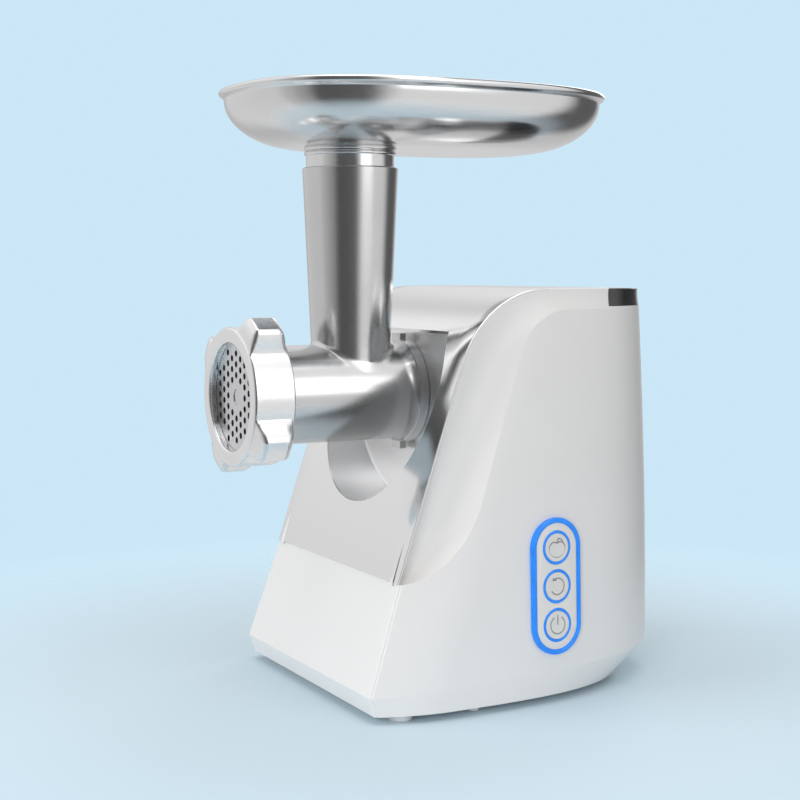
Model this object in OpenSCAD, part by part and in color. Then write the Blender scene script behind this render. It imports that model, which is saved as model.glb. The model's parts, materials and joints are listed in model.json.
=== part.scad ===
// Electric meat grinder: a motor base with a mirror steel front, a screw-fed
// grinding head with a feed tube, and a lift-off food tray.
// Working frame: Y = 0 on the feed tube axis, -Y is the outlet side, +X is the
// control side and Z = 0 is the table. in_frame() then moves the origin to the
// middle of the bounding box, at the table.

/* [Motor base] */
// Height of the body top, without the steel sheet
body_h = 215; // [205:1:225]
// Half width of the sides, at table height
side_half = 87; // [84:0.5:92]
// Inward draft of the sides, mm per mm of height
side_draft = 0.046; // [0.03:0.001:0.06]
// Half width of the front face at the steel sheet
face_half = 74.5; // [70:0.5:78]
// Half width of the front face at its foot
foot_half = 78.3; // [76:0.1:82]
// Y of the front face at its foot
front_y = -28.4; // [-32:0.1:-26]
// Backward lean of the front face, mm per mm of height
front_lean = 0.337; // [0.3:0.001:0.36]
// Y of the rear wall at its widest
rear_y = 171; // [165:1:185]
// Height where the steel sheet starts
sheet_z = 68.6; // [60:0.2:76]
// Radius of the bend between the front slope and the top
bend_r = 52; // [48:1:55]
// Depth of the bright scoop beside the steel sheet, along Y
scoop_w = 30.5; // [24:0.5:34]
// How far the scoop sinks below a straight bevel
scoop_sag = 2.2; // [1:0.1:3]
// Wall thickness of the housing
wall = 2.6; // [2.2:0.1:3.2]
// Thickness of the steel sheet
steel_t = 0.8; // [0.6:0.1:1.2]
// Height of the crease above the skirt, at the front
crease_front = 14; // [12:0.5:16]
// Height of the crease above the skirt, at the rear
crease_rear = 20.5; // [18:0.5:23]
// How far the skirt is drawn in at the rear
rear_tuck = 24; // [18:1:28]
// Ground clearance under the skirt
ground_gap = 4; // [3:0.5:6]

/* [Grinding head] */
// Height of the barrel axis
axis_h = 159.5; // [157:0.5:161]
// Diameter of the cutting plate
plate_d = 62; // [58:0.5:64]
// Thickness of the cutting plate
plate_t = 5; // [4:0.5:6]
// Diameter of the opening in the ring nut
mouth_d = 56; // [50:0.5:56]
// Distance from the feed tube axis to the front of the ring nut
nut_reach = 70.5; // [68:0.5:76]
// Length of the ring nut
nut_l = 22.5; // [20:0.5:24]
// Radius of the ring nut between its lugs
nut_r = 36.3; // [35.8:0.1:38]
// Radius over the lugs of the ring nut
lug_r = 46.5; // [44:0.5:48]
// Outer diameter of the barrel
barrel_d = 52; // [50:0.5:54]
// Wall of the barrel and feed tube
cast_wall = 2.8; // [2.4:0.1:3.2]
// Diameter of the flange that seats on the base
flange_d = 56.4; // [55:0.2:58]
// Y of the seat face that the flange meets
seat_y = 33.4; // [32:0.2:35]
// Diameter of the neck behind the flange
neck_d = 48.8; // [46:0.2:50]
// Diameter of the recess in the steel front
recess_d = 117.2; // [112:0.4:118]
// Outer diameter of the feed tube at its top
tube_top_d = 51; // [48:0.5:54]
// Outer diameter of the feed tube where it meets the barrel
tube_low_d = 42.6; // [40:0.2:45]
// Height of the top of the feed tube
tube_h = 279; // [270:1:288]

/* [Food tray] */
// Half length of the tray
tray_l = 104.8; // [98:0.2:112]
// Half width of the tray
tray_w = 76.2; // [72:0.2:80]
// Y of the middle of the tray
tray_y = 38.5; // [34:0.5:42]
// Height of the rim
rim_h = 318; // [314:0.5:322]
// Depth of the tray
tray_depth = 28; // [24:0.5:30]
// Sheet thickness of the tray
tray_t = 1; // [0.8:0.1:1.4]
// Radius of the rolled rim
rim_r = 2; // [1.6:0.1:2.6]
// Diameter of the hole down through the tray neck
neck_hole_d = 40; // [36:0.5:41]

/* [Controls] */
// Y of the button column
button_y = 77.2; // [70:0.5:84]
// Height of the middle button
button_z = 61.6; // [58:0.5:64]
// Distance from one button to the next
button_pitch = 20.25; // [19.5:0.05:22]
// Diameter of a button cap
button_d = 14.8; // [13:0.2:15.4]
// Width of the light ring round a button
halo_w = 1.5; // [1:0.1:1.8]
// Half width of the control panel
panel_half = 15.5; // [14.5:0.1:17]
// Width of the blue band round the panel
panel_band = 2.6; // [2:0.1:3]
// How far the control panel stands out of the side
panel_proud = 2.2; // [1.6:0.1:3]
// Travel of a button
button_travel = 1.2; // [0.8:0.1:1.4]

/* [Drive] */
// Teeth on each small gear
pinion_teeth = 12; // [12:1:14]
// Teeth on the first large gear
first_teeth = 54; // [52:1:56]
// Teeth on the second large gear
second_teeth = 48; // [46:1:50]
// Teeth on the output gear
output_teeth = 42; // [40:1:42]
// Module of the first pair of gears
first_m = 1; // [0.95:0.05:1]
// Module of the second pair of gears
second_m = 1.25; // [1.2:0.05:1.25]
// Module of the output pair of gears
output_m = 1.75; // [1.7:0.05:1.75]
// Height of the motor shaft
motor_z = 68; // [66:0.5:72]
// Radius of the motor's steel stack
motor_r = 41; // [38:0.5:44]
// Length of the motor's steel stack
motor_l = 36; // [32:1:38]
// Radius of the motor shaft
shaft_r = 4; // [3.5:0.1:4.5]
// Width across the flats of the hexagon drive
hex_af = 13; // [12:0.5:14]

/* [Fits] */
// Radial clearance of turning and sliding fits
fit = 0.08; // [0.04:0.01:0.1]
// Gap between pieces that sit side by side
gap = 0.3; // [0.25:0.05:0.5]

/* [Hidden] */
$fn = 72;

// Directions and places on the front slope
lean_a = atan(front_lean);
bend_z = body_h - bend_r;
function face_y(z) = front_y + (z - crease_front) * front_lean;
bend_y = face_y(bend_z) + bend_r / cos(lean_a);
sheet_end_y = 115;
cap_low = body_h - 9;

// The scoop's outline: a line beside the slope, a bend and a level stretch
scoop_top = body_h - 10;
scoop_bend_r = 31.5;
scoop_bend_z = scoop_top - scoop_bend_r;
scoop_bend_y = face_y(scoop_bend_z) + scoop_w + scoop_bend_r / cos(lean_a);
scoop_low_h = 38.4;

// Motor base: plan outline at each height -------------------------------------

bulge_l = 43;
rear_drop = 11;
top_chamfer = 0.6;
// The edge beside the steel opens this much towards the rear, mm per mm
edge_splay = 0.0005;
function rear_y_at(z) = rear_y - rear_drop * pow(z / 208, 2);
function crease_z(y) = crease_front
  + (crease_rear - crease_front) * pow(max(0, (y - front_y) / (rear_y - front_y)), 1.3);
function corner_x(z) = max(face_half,
  foot_half - (foot_half - face_half) * (z - crease_front) / (sheet_z - crease_front));

// Half width of the side at y, z, drawn in by d: a bulge in front of the widest
// point and a cubic oval behind it
function plan_x(y, w, c, yc, yf, yr) = y > yc
  ? w * pow(max(0, 1 - pow((y - yc) / (yr - yc), 3)), 1 / 3)
  : w - (w - c) * pow((yc - y) / (yc - yf), 2);
function side_x(y, z, d) = plan_x(y, side_half - side_draft * z - d, corner_x(z) - d,
  face_y(z) + bulge_l, face_y(z), rear_y_at(z) - d);

// Y of the front slope and of the scoop's outline at height z
function front_edge(z, d) = z < bend_z + (bend_r - d) * sin(lean_a)
  ? face_y(z) + d / cos(lean_a)
  : bend_y - sqrt(max(0, pow(bend_r - d, 2) - pow(z - bend_z, 2)));
function scoop_reach(z) = z <= sheet_z ? 0
  : z < sheet_z + scoop_low_h ? scoop_w * sqrt(1 - pow((sheet_z + scoop_low_h - z) / scoop_low_h, 2))
  : scoop_w;
function scoop_edge(z) = z < scoop_bend_z + scoop_bend_r * sin(lean_a) ? face_y(z) + scoop_reach(z)
  : z < scoop_top ? scoop_bend_y - sqrt(pow(scoop_bend_r, 2) - pow(z - scoop_bend_z, 2))
  : scoop_bend_y;

// Distance inside an outline made of the slope, a bend at [cy, cz] and a level
function depth_in(y, z, cy, cz, r, off) =
  let (along = (y - cy) * sin(lean_a) + (z - cz) * cos(lean_a))
  y < cy && along > 0 ? r - norm([y - cy, z - cz])
  : along <= 0 ? (y - face_y(z) - off) * cos(lean_a) : cz + r - z;
// 0 on the scoop's outline and 1 on the edge of the steel
function scoop_t(y, z) = z <= sheet_z ? 0
  : z < scoop_bend_z - 20 ? max(0, 1 - (y - face_y(z)) / scoop_reach(z))
  : let (inner = depth_in(y, z, scoop_bend_y, scoop_bend_z, scoop_bend_r, scoop_w),
         outer = depth_in(y, z, bend_y, bend_z, bend_r, 0))
    inner >= 0 ? 0 : min(1, -inner / max(0.001, outer - inner));
function skin_x(y, z, d) =
  let (s = side_x(y, z, d), t = scoop_t(y, z),
       e = max(0, min(face_half - d + edge_splay * y, s - top_chamfer)),
       fade = max(0.2, min(1, 1 - (z - 170) / 45)))
  s - t * (s - e) - 4 * scoop_sag * fade * t * (1 - t);

// Stations round one side: across the scoop, along the side, round the rear
n_scoop = 5;
n_side = 4;
n_rear = 12;
n_half = n_scoop + n_side + n_rear;
function station(j, yf, yo, yc, yr) =
  let (ym = max(yc, yo + 4), a = asin(pow((ym - yc) / (yr - yc), 1.5)))
  j <= n_scoop ? yf + (yo - yf) * j / n_scoop
  : j <= n_scoop + n_side ? yo + (ym - yo) * (j - n_scoop) / n_side
  : yc + (yr - yc) * pow(sin(a + (90 - a) * (j - n_scoop - n_side) / n_rear), 2 / 3);
function both_sides(half) = concat(half,
  [for (j = [len(half) - 2:-1:0]) [-half[j][0], half[j][1], half[j][2]]]);

// Rings: the foot of the skirt, the crease, then level rings to the top
skirt_front = 3.5;
skirt_side = 1;
skirt_yc = 15;
function skirt_ring(z, d) = both_sides([for (j = [0:n_half])
  let (yf = front_y + skirt_front + d, yr = rear_y - rear_tuck - d, w = side_half - skirt_side - d,
       y = station(j, yf, yf + 3, skirt_yc, yr))
  [plan_x(y, w, foot_half - skirt_side - d, skirt_yc, yf, yr), y, z]]);
function crease_ring(d) = both_sides([for (j = [0:n_half])
  let (yf = front_edge(crease_front, d),
       y = station(j, yf, yf + 3, face_y(crease_front) + bulge_l, rear_y_at(crease_front) - d))
  [side_x(y, crease_front, d), y, crease_z(y)]]);
function level_ring(z, d) = both_sides([for (j = [0:n_half])
  let (yf = front_edge(z, d), yo = max(scoop_edge(z), yf + 3),
       y = station(j, yf, yo, face_y(z) + bulge_l, rear_y_at(z) - d))
  [skin_x(y, z, d), y, z]]);

crossing_a = asin((scoop_top - bend_z) / bend_r);
bend_steps = 5;
bend_angles = concat([for (i = [0:bend_steps]) lean_a + (crossing_a - lean_a) * i / bend_steps],
  [for (i = [1:bend_steps]) crossing_a + (90 - crossing_a) * i / bend_steps]);
level_heights = [30, 48, sheet_z, sheet_z + 3, sheet_z + 8, sheet_z + 15, sheet_z + 24,
  sheet_z + scoop_low_h, 127, 147, 164];
function form_rings(d) = concat([skirt_ring(ground_gap - (d > 0 ? 1 : 0), d), crease_ring(d)],
  [for (z = level_heights) level_ring(z, d)],
  [for (a = bend_angles) level_ring(bend_z + (bend_r - d) * sin(a), d)]);

module skin(rings) {
  n = len(rings[0]);
  m = len(rings);
  points = [for (r = rings) for (p = r) p];
  sides = [for (k = [0:m - 2]) for (j = [0:n - 1])
    let (a = k * n + j, b = k * n + (j + 1) % n)
    each [[a, a + n, b], [b, a + n, b + n]]];
  foot = [[for (j = [0:n - 1]) j]];
  head = [[for (j = [n - 1:-1:0]) (m - 1) * n + j]];
  polyhedron(points, concat(sides, foot, head), convexity = 6);
}
module body_form(d) { skin(form_rings(d)); }

// The front slope, bend and top as a line in Y and Z, moved outwards by off
function front_line(off) = concat(
  [[face_y(sheet_z) - off * cos(lean_a), sheet_z + off * sin(lean_a)]],
  [for (a = bend_angles) [bend_y - (bend_r + off) * cos(a), bend_z + (bend_r + off) * sin(a)]],
  [[sheet_end_y, body_h + off]]);
// Extrudes a shape drawn in Y and Z to half_w each side of the middle
module across(half_w) {
  translate([-half_w, 0, 0]) rotate([90, 0, 90]) linear_extrude(2 * half_w) children();
}
// Extrudes a shape drawn in X and Z from y0 to y1
module slab(y0, y1) {
  translate([0, y1, 0]) rotate([90, 0, 0]) linear_extrude(y1 - y0) children();
}
// A round bar along Y, centred on [x, z]
module bar(p, y0, y1, r, r2 = undef) {
  translate([p[0], y0, p[1]]) rotate([-90, 0, 0])
    cylinder(h = y1 - y0, r1 = r, r2 = is_undef(r2) ? r : r2);
}

// Housing ----------------------------------------------------------------------

axis = [0, axis_h];
seat_t = 3;
seat_wall = 2;
recess_r = recess_d / 2;
gland_z = 38;
gland_r = 5;
gland_proud = 3;
vent_w = 3;
vent_pitch = 7;
vent_count = 9;
post_r = 5;
post_low = ground_gap + 4;
post_high = 45;
post_y = [2, 112];
screw_r = 2;
base_z = ground_gap + 1;
base_t = 2.6;
function post_x(y) = side_x(y, 5, 0) * (y > 60 ? 0.76 : 0.84);
posts = [for (y = post_y) for (s = [-1, 1]) [s * post_x(y), y]];

module main_housing() {
  color([0.93, 0.93, 0.94])
  difference() {
    union() {
      difference() {
        body_form(0);
        body_form(wall);
      }
      for (p = posts) {
        translate([p[0], p[1], post_low]) cylinder(h = post_high - post_low, r = post_r);
        rib_x = side_x(p[1], 36, 0) - wall / 2;
        translate([p[0] > 0 ? p[0] : -rib_x, p[1] - 1.5, 28])
          cube([rib_x - abs(p[0]), 3, post_high - 28]);
      }
    }
    translate([-side_half, sheet_end_y, cap_low]) cube([2 * side_half, rear_y, body_h]);
    bar(axis, front_y - 40, seat_y + seat_t + gap, recess_r + seat_wall + fit);
    on_side() {
      stadium_slab(-wall * 2, 3, panel_half - panel_band + gap);
      stadium_slab(-band_seat, 3, panel_half + gap / 2);
    }
    for (p = posts) translate([p[0], p[1], post_low - 1]) cylinder(h = 14, r = screw_r + fit);
    bar([0, gland_z], rear_y - 12, rear_y + 4, gland_r + fit);
    for (i = [0:vent_count - 1])
      translate([(i - (vent_count - 1) / 2) * vent_pitch - vent_w / 2, rear_y - 22, 70])
        cube([vent_w, 40, 44]);
  }
}

// A bent sheet of polished steel over the front slope and the top
module steel_panel() {
  color([0.8, 0.81, 0.82])
  difference() {
    across(face_half) polygon(concat(front_line(steel_t),
      [for (i = [len(front_line(0)) - 1:-1:0]) front_line(0)[i]]));
    bar(axis, front_y - 40, seat_y, recess_r);
  }
}

// The cup let into the front: its end wall is the face that the head seats on
module head_seat() {
  color([0.7, 0.71, 0.72])
  difference() {
    intersection() {
      bar(axis, front_y, seat_y + seat_t, recess_r + seat_wall);
      across(side_half) polygon(concat(front_line(0),
        [[sheet_end_y, sheet_z - 20], [face_y(sheet_z - 20), sheet_z - 20]]));
    }
    bar(axis, front_y - 40, seat_y, recess_r);
    bar(axis, seat_y - 1, seat_y + seat_t + 1, neck_d / 2 + gap);
  }
}

module rear_top_cap() {
  color([0.12, 0.12, 0.12])
  intersection() {
    difference() {
      body_form(0);
      body_form(wall);
    }
    translate([-side_half, sheet_end_y, cap_low]) cube([2 * side_half, rear_y, body_h]);
  }
}

foot_r = 6;
foot_peg_r = 2;
foot_peg_in = 3;
foot_spots = [[74, -9], [48, 134]];
stub_r = 3.3;
stub_spot = [76.5, 32];
function base_outline() = [for (p = skirt_ring(0, wall + gap)) [p[0], p[1]]];
module base_plate() {
  color([0.9, 0.9, 0.91])
  difference() {
    union() {
      translate([0, 0, base_z]) linear_extrude(base_t) polygon(base_outline());
      for (s = [-1, 1]) translate([s * stub_spot[0], stub_spot[1], 0.4])
        cylinder(h = base_z, r1 = stub_r - 0.5, r2 = stub_r);
    }
    for (p = posts) translate([p[0], p[1], 0]) {
      cylinder(h = 20, r = screw_r + gap);
      cylinder(h = base_z + 1, r = 2 * screw_r + gap);
    }
    for (i = [-4:4]) translate([i * 8 - 1.5, 60, 0]) cube([3, 46, 20]);
  }
}

module feet() {
  color([0.82, 0.82, 0.83])
  for (p = foot_spots) for (s = [-1, 1]) translate([s * p[0], p[1], 0]) {
    rotate_extrude() polygon([[0, 0], [foot_r - 1, 0], [foot_r, 1], [foot_r, ground_gap - gap],
      [0, ground_gap - gap]]);
    translate([-s * foot_peg_in, p[1] > 60 ? -foot_peg_in : foot_peg_in, 1])
      cylinder(h = base_z - 1, r = foot_peg_r);
  }
}

module base_screws() {
  color([0.6, 0.6, 0.62])
  for (p = posts) translate([p[0], p[1], 0]) {
    translate([0, 0, base_z - 1.4]) cylinder(h = 2.4, r = 2 * screw_r);
    translate([0, 0, base_z + 1]) cylinder(h = 12, r = screw_r);
  }
}

module cord_gland() {
  color([0.85, 0.85, 0.86])
  difference() {
    union() {
      bar([0, gland_z], rear_y_at(gland_z) - 10, rear_y_at(gland_z) + gland_proud, gland_r);
      bar([0, gland_z], rear_y_at(gland_z) + 0.3, rear_y_at(gland_z) + gland_proud, gland_r + 2.4);
    }
    bar([0, gland_z], rear_y_at(gland_z) - 12, rear_y_at(gland_z) + 5, gland_r - 2);
  }
}

// Controls -----------------------------------------------------------------------

button_x = side_x(button_y, button_z, 0);
panel_turn = atan((side_x(button_y - 5, button_z, 0) - side_x(button_y + 5, button_z, 0)) / 10);
panel_tilt = atan((side_x(button_y, button_z - 25, 0) - side_x(button_y, button_z + 25, 0)) / 50);
panel_out = button_x + panel_proud * cos(panel_tilt) * cos(panel_turn)
  + button_pitch * sin(panel_tilt) * cos(panel_turn)
  + panel_half * norm([sin(panel_tilt) * cos(panel_turn), sin(panel_turn)]);
// Local frame on the side wall: +X outwards, +Z up the column of buttons
module on_side() {
  translate([button_x, button_y, button_z]) rotate([0, 0, panel_turn]) rotate([0, -panel_tilt, 0])
    children();
}
module stadium(r) {
  translate([-button_pitch, -r]) square([2 * button_pitch, 2 * r]);
  for (s = [-1, 1]) translate([s * button_pitch, 0]) circle(r);
}
// A stadium standing on the side wall, from x0 to x1 outwards
module stadium_slab(x0, x1, r) {
  translate([x0, 0, 0]) rotate([0, 90, 0]) linear_extrude(x1 - x0) stadium(r);
}
module disc(x0, x1, r, k) {
  translate([x0, 0, k * button_pitch]) rotate([0, 90, 0]) cylinder(h = x1 - x0, r = r);
}
button_r = button_d / 2;
board_x = -12;
cap_back = -7;
band_seat = 0.7;

module panel_band_light() {
  color([0.1, 0.45, 0.95])
  on_side() difference() {
    stadium_slab(-band_seat + 0.1, panel_proud, panel_half);
    stadium_slab(-2, panel_proud + 1, panel_half - panel_band);
  }
}
module control_plate() {
  color([0.92, 0.91, 0.89])
  on_side() difference() {
    stadium_slab(-wall - 1, panel_proud - 0.5, panel_half - panel_band - fit);
    for (k = [-1:1]) {
      disc(-wall - 2, panel_proud, button_r + fit, k);
      disc(panel_proud - 1.6, panel_proud, button_r + halo_w + fit, k);
    }
  }
}
module button_halos() {
  color([0.1, 0.45, 0.95])
  on_side() for (k = [-1:1]) difference() {
    disc(panel_proud - 1.6, panel_proud - 0.2, button_r + halo_w, k);
    disc(-wall, panel_proud + 1, button_r + fit, k);
  }
}
module push_button(k) {
  color([0.88, 0.87, 0.86])
  on_side() {
    disc(cap_back, panel_proud, button_r, k);
    disc(cap_back - 1.2, cap_back, button_r + 1.2, k);
  }
}
module fruit_button() { push_button(1); }
module reverse_button() { push_button(0); }
module power_button() { push_button(-1); }
module control_board() {
  color([0.1, 0.35, 0.2])
  on_side() translate([board_x - 1.6 - 4, -13, -32]) cube([1.6, 26, 64]);
}
module micro_switches() {
  color([0.15, 0.15, 0.16])
  on_side() for (k = [-1:1]) translate([board_x - 4, -3, k * button_pitch - 3]) {
    cube([3.4, 6, 6]);
    translate([3.4, 3, 3]) rotate([0, 90, 0])
      cylinder(h = cap_back - 1.2 - button_travel - gap - (board_x - 0.6), r = 1.6);
  }
}

// Grinding head ------------------------------------------------------------------

nut_front = -nut_reach;
nut_back = nut_front + nut_l;
lip_t = 4.5;
plate_r = plate_d / 2;
plate_front = nut_front + lip_t;
plate_back = plate_front + plate_t;
collar_r = plate_r + 2;
collar_front = plate_front + 0.5;
barrel_r = barrel_d / 2;
bore_r = barrel_r - cast_wall;
chamber_r = collar_r - 5.5;
chamber_back = plate_back + 10;
flange_r = flange_d / 2;
flange_t = 6;
flange_back = seat_y - 0.1;
flange_front = flange_back - flange_t;
neck_r = neck_d / 2;
neck_end = seat_y + 13;
bush_r = neck_r - 8;
journal_r = 11;
auger_end = seat_y - 7;
tube_top_r = tube_top_d / 2;
tube_low_r = tube_low_d / 2;
tube_low_z = axis_h + barrel_r;
tube_slope = (tube_top_r - tube_low_r) / (tube_h - tube_low_z);
tube_axis_r = tube_low_r - tube_slope * barrel_r;
lug_count = 4;
lug_turn = 57;

// Ring of polygon points that bulges at each lug
function lug_shape(a) = let (s = abs(((a - lug_turn) % (360 / lug_count) + 540 / lug_count)
    % (360 / lug_count) - 180 / lug_count))
  s < 6 ? 1 : s > 19 ? 0 : 0.5 + 0.5 * cos((s - 6) * 180 / 13);
function nut_outline(steps) = [for (i = [0:steps - 1])
  let (a = i * 360 / steps, r = nut_r + (lug_r - nut_r) * lug_shape(a)) [r * cos(a), r * sin(a)]];

module ring_nut() {
  color([0.82, 0.82, 0.83])
  difference() {
    intersection() {
      translate([0, 0, axis_h]) slab(nut_front, nut_back) polygon(nut_outline(180));
      translate([0, nut_front, axis_h]) rotate([-90, 0, 0]) rotate_extrude()
        polygon([[0, 0], [nut_r - 1.6, 0], [nut_r + 1, 1.4], [lug_r, 5], [lug_r, nut_l - 7],
          [lug_r - 3, nut_l - 4], [nut_r + 0.5, nut_l - 2], [nut_r - 0.5, nut_l], [0, nut_l]]);
    }
    bar(axis, nut_front - 1, nut_back + 1, mouth_d / 2);
    bar(axis, nut_front - 0.01, nut_front + 1.6, mouth_d / 2 + 1.6, mouth_d / 2);
    bar(axis, plate_front, nut_back + 1, collar_r + fit);
  }
}

hole_r = 1.7;
hole_step = 5.65;
hub_r = 6.4;
pin_r = 4;
module cutting_plate() {
  color([0.78, 0.78, 0.79])
  difference() {
    bar(axis, plate_front, plate_back, plate_r);
    bar(axis, plate_front - 1, plate_back + 1, pin_r + fit);
    for (i = [-4:4]) for (k = [-5:5])
      let (x = i * hole_step, z = (k + (i % 2 == 0 ? 0 : 0.5)) * hole_step)
      if (norm([x, z]) < plate_r - 5.2 && norm([x, z]) > hub_r + hole_r)
        bar([x, axis_h + z], plate_front - 1, plate_back + 1, hole_r);
  }
}

module cross_blade() {
  color([0.75, 0.76, 0.78])
  difference() {
    union() {
      bar(axis, plate_back + gap, plate_back + 8, 9);
      for (a = [0:90:270]) translate([0, 0, axis_h]) rotate([0, a + 20, 0])
        translate([0, plate_back + gap, -4]) cube([chamber_r - 1.4, 5.4, 8]);
    }
    translate([-square_half - fit, plate_back - 1, axis_h - square_half - fit])
      cube([2 * (square_half + fit), 12, 2 * (square_half + fit)]);
  }
}
square_half = 4.75;

flight_start = plate_back + 8.4;
flight_turns = 3.2;
flight_steps = 24;
flight_r = bore_r - 0.6;
flight_t = 3;
core_r = 8.5;
// One turn rises less towards the outlet, so the meat is pressed harder there
function flight_y(u) = flight_start + 1.5 + (auger_end - flight_start - flight_t - 3)
  * pow(u, 1.25);
function flight_ring(u) = let (a = 360 * flight_turns * u, y = flight_y(u))
  [for (q = [[core_r - 3, 0], [flight_r, 0.6], [flight_r, flight_t - 0.6], [core_r - 3, flight_t]])
    [q[0] * cos(a), y + q[1], axis_h + q[0] * sin(a)]];
module flight() {
  n = floor(flight_turns * flight_steps);
  rings = [for (k = [0:n]) flight_ring(k / n)];
  points = [for (r = rings) for (p = r) p];
  sides = [for (k = [0:n - 1]) for (j = [0:3])
    let (a = k * 4 + j, b = k * 4 + (j + 1) % 4) each [[a, a + 4, b], [b, a + 4, b + 4]]];
  polyhedron(points, concat(sides, [[0, 1, 2], [0, 2, 3]],
    [[n * 4 + 2, n * 4 + 1, n * 4], [n * 4 + 3, n * 4 + 2, n * 4]]), convexity = 8);
}
module hexagon(af) { circle(r = af / 2 / cos(30), $fn = 6); }
module auger() {
  color([0.7, 0.7, 0.71])
  union() {
    flight();
    bar(axis, flight_start, auger_end, core_r);
    bar(axis, auger_end - 3, auger_end + 2, flight_r + 0.25);
    bar(axis, auger_end + 1, neck_end - 2, journal_r);
    translate([-square_half, plate_back + 0.8, axis_h - square_half])
      cube([2 * square_half, 10, 2 * square_half]);
    bar(axis, plate_front + 0.4, plate_back + 2, pin_r);
    translate([0, 0, axis_h]) slab(neck_end - 3, neck_end + 18) hexagon(hex_af);
  }
}
module auger_bush() {
  color([0.9, 0.9, 0.88])
  difference() {
    bar(axis, auger_end + 2 + gap, neck_end - 4, bush_r);
    bar(axis, auger_end, neck_end, journal_r + fit);
  }
}

module grinder_head() {
  color([0.75, 0.75, 0.76])
  difference() {
    union() {
      bar(axis, collar_front, nut_back - 0.3, collar_r);
      bar(axis, collar_front, flange_front + 1, barrel_r);
      bar(axis, flange_front - 6, flange_front + 0.5, barrel_r - 0.2, flange_r - 1);
      bar(axis, flange_front, flange_back, flange_r);
      bar(axis, flange_front, neck_end, neck_r);
      for (s = [-1, 1]) translate([-5, flange_front, axis_h + s * (flange_r + 1.2) - 2])
        cube([10, 3.5, 4]);
      translate([0, 0, axis_h]) cylinder(h = tube_h - axis_h, r1 = tube_axis_r, r2 = tube_top_r);
    }
    bar(axis, collar_front - 1, plate_back, plate_r + fit);
    bar(axis, collar_front - 1, chamber_back, chamber_r);
    bar(axis, collar_front - 1, auger_end + 2 + gap, bore_r);
    bar(axis, 0, neck_end - 4, bush_r + fit);
    bar(axis, 0, neck_end + 1, journal_r + 1);
    translate([0, 0, axis_h]) cylinder(h = tube_h - axis_h,
      r1 = tube_axis_r - cast_wall, r2 = tube_top_r - cast_wall);
    translate([0, 0, tube_h - spigot_l]) cylinder(h = spigot_l + 1, r = spigot_r + fit);
  }
}

// Food tray ------------------------------------------------------------------------

spigot_l = 12;
spigot_r = tube_top_r - 2;
collar_top = rim_h - tray_depth;
neck_hole_r = neck_hole_d / 2;
bowl_run = 42;
bowl_power = 2.6;
bowl_points = 72;
wall_d = 3.6;
// Outline of the bowl drawn in by d from the rim, as an oval of a set power
function oval(d, a) = let (c = cos(a), s = sin(a))
  [(tray_w - d) * sign(c) * pow(abs(c), 2 / bowl_power),
   tray_y + (tray_l - d) * sign(s) * pow(abs(s), 2 / bowl_power)];
function neck_circle(r, a) = [r * cos(a), r * sin(a)];
// Bowl section: how far in from the rim, height, and share of the neck circle
bowl_section = concat(
  [[bowl_run, collar_top, 1]],
  [for (f = [0:15:90]) [wall_d + (bowl_run - wall_d) * (1 - sin(f)),
    collar_top + (tray_depth - 3) * (1 - cos(f)), 0]],
  [for (f = [-25:45:245]) [rim_r + rim_r * cos(f), rim_h + rim_r * sin(f), 0]],
  [for (f = [90:-15:0]) [wall_d + (bowl_run - wall_d) * (1 - sin(f)) - tray_t * sin(f),
    collar_top - tray_t * cos(f) + (tray_depth - 3) * (1 - cos(f)), 0]],
  [[bowl_run, collar_top - tray_t, 1]]);
function bowl_ring(q) = [for (i = [0:bowl_points - 1]) let (a = i * 360 / bowl_points,
  p = q[2] == 1 ? neck_circle(neck_hole_r + 2, a) : oval(q[0], a)) [p[0], p[1], q[1]]];
module bowl() {
  rings = [for (q = bowl_section) bowl_ring(q)];
  m = len(rings);
  n = bowl_points;
  points = [for (r = rings) for (p = r) p];
  faces = [for (k = [0:m - 1]) for (j = [0:n - 1])
    let (a = k * n + j, b = k * n + (j + 1) % n, c = ((k + 1) % m) * n + j,
         e = ((k + 1) % m) * n + (j + 1) % n)
    each [[a, b, c], [b, e, c]]];
  polyhedron(points, faces, convexity = 8);
}
module tray() {
  color([0.84, 0.85, 0.86])
  union() {
    bowl();
    rotate_extrude() polygon([
      [neck_hole_r, tube_h - spigot_l + 0.5], [spigot_r, tube_h - spigot_l + 0.5],
      [spigot_r, tube_h + 6], [spigot_r + 1.3, tube_h + 7], [spigot_r, tube_h + 8.4],
      [spigot_r + 1.3, tube_h + 9.8], [spigot_r, collar_top - tray_t / 2],
      [neck_hole_r + 4, collar_top - tray_t / 2], [neck_hole_r, collar_top - tray_t / 2]]);
  }
}

// Drive ------------------------------------------------------------------------------

c1 = first_m * (pinion_teeth + first_teeth) / 2;
c2 = second_m * (pinion_teeth + second_teeth) / 2;
c3 = output_m * (pinion_teeth + output_teeth) / 2;
motor_p = [0, motor_z];
second_p = axis + c3 * [cos(-62), sin(-62)];
span = norm(motor_p - second_p);
along = (c2 * c2 - c1 * c1 + span * span) / (2 * span);
aside = sqrt(c2 * c2 - along * along);
unit = (motor_p - second_p) / span;
first_p = second_p + along * unit + aside * [unit[1], -unit[0]];
function angle_to(p, q) = atan2(q[1] - p[1], q[0] - p[0]);
// Turn of a gear of teeth zb that meshes with one of za teeth turned by fa
function mesh_turn(fa, za, zb, b) = b + 180 + 180 / zb - (fa - b) * za / zb;
first_turn = mesh_turn(0, pinion_teeth, first_teeth, angle_to(motor_p, first_p));
second_turn = mesh_turn(first_turn, pinion_teeth, second_teeth, angle_to(first_p, second_p));
output_turn = mesh_turn(second_turn, pinion_teeth, output_teeth, angle_to(second_p, axis));

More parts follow.
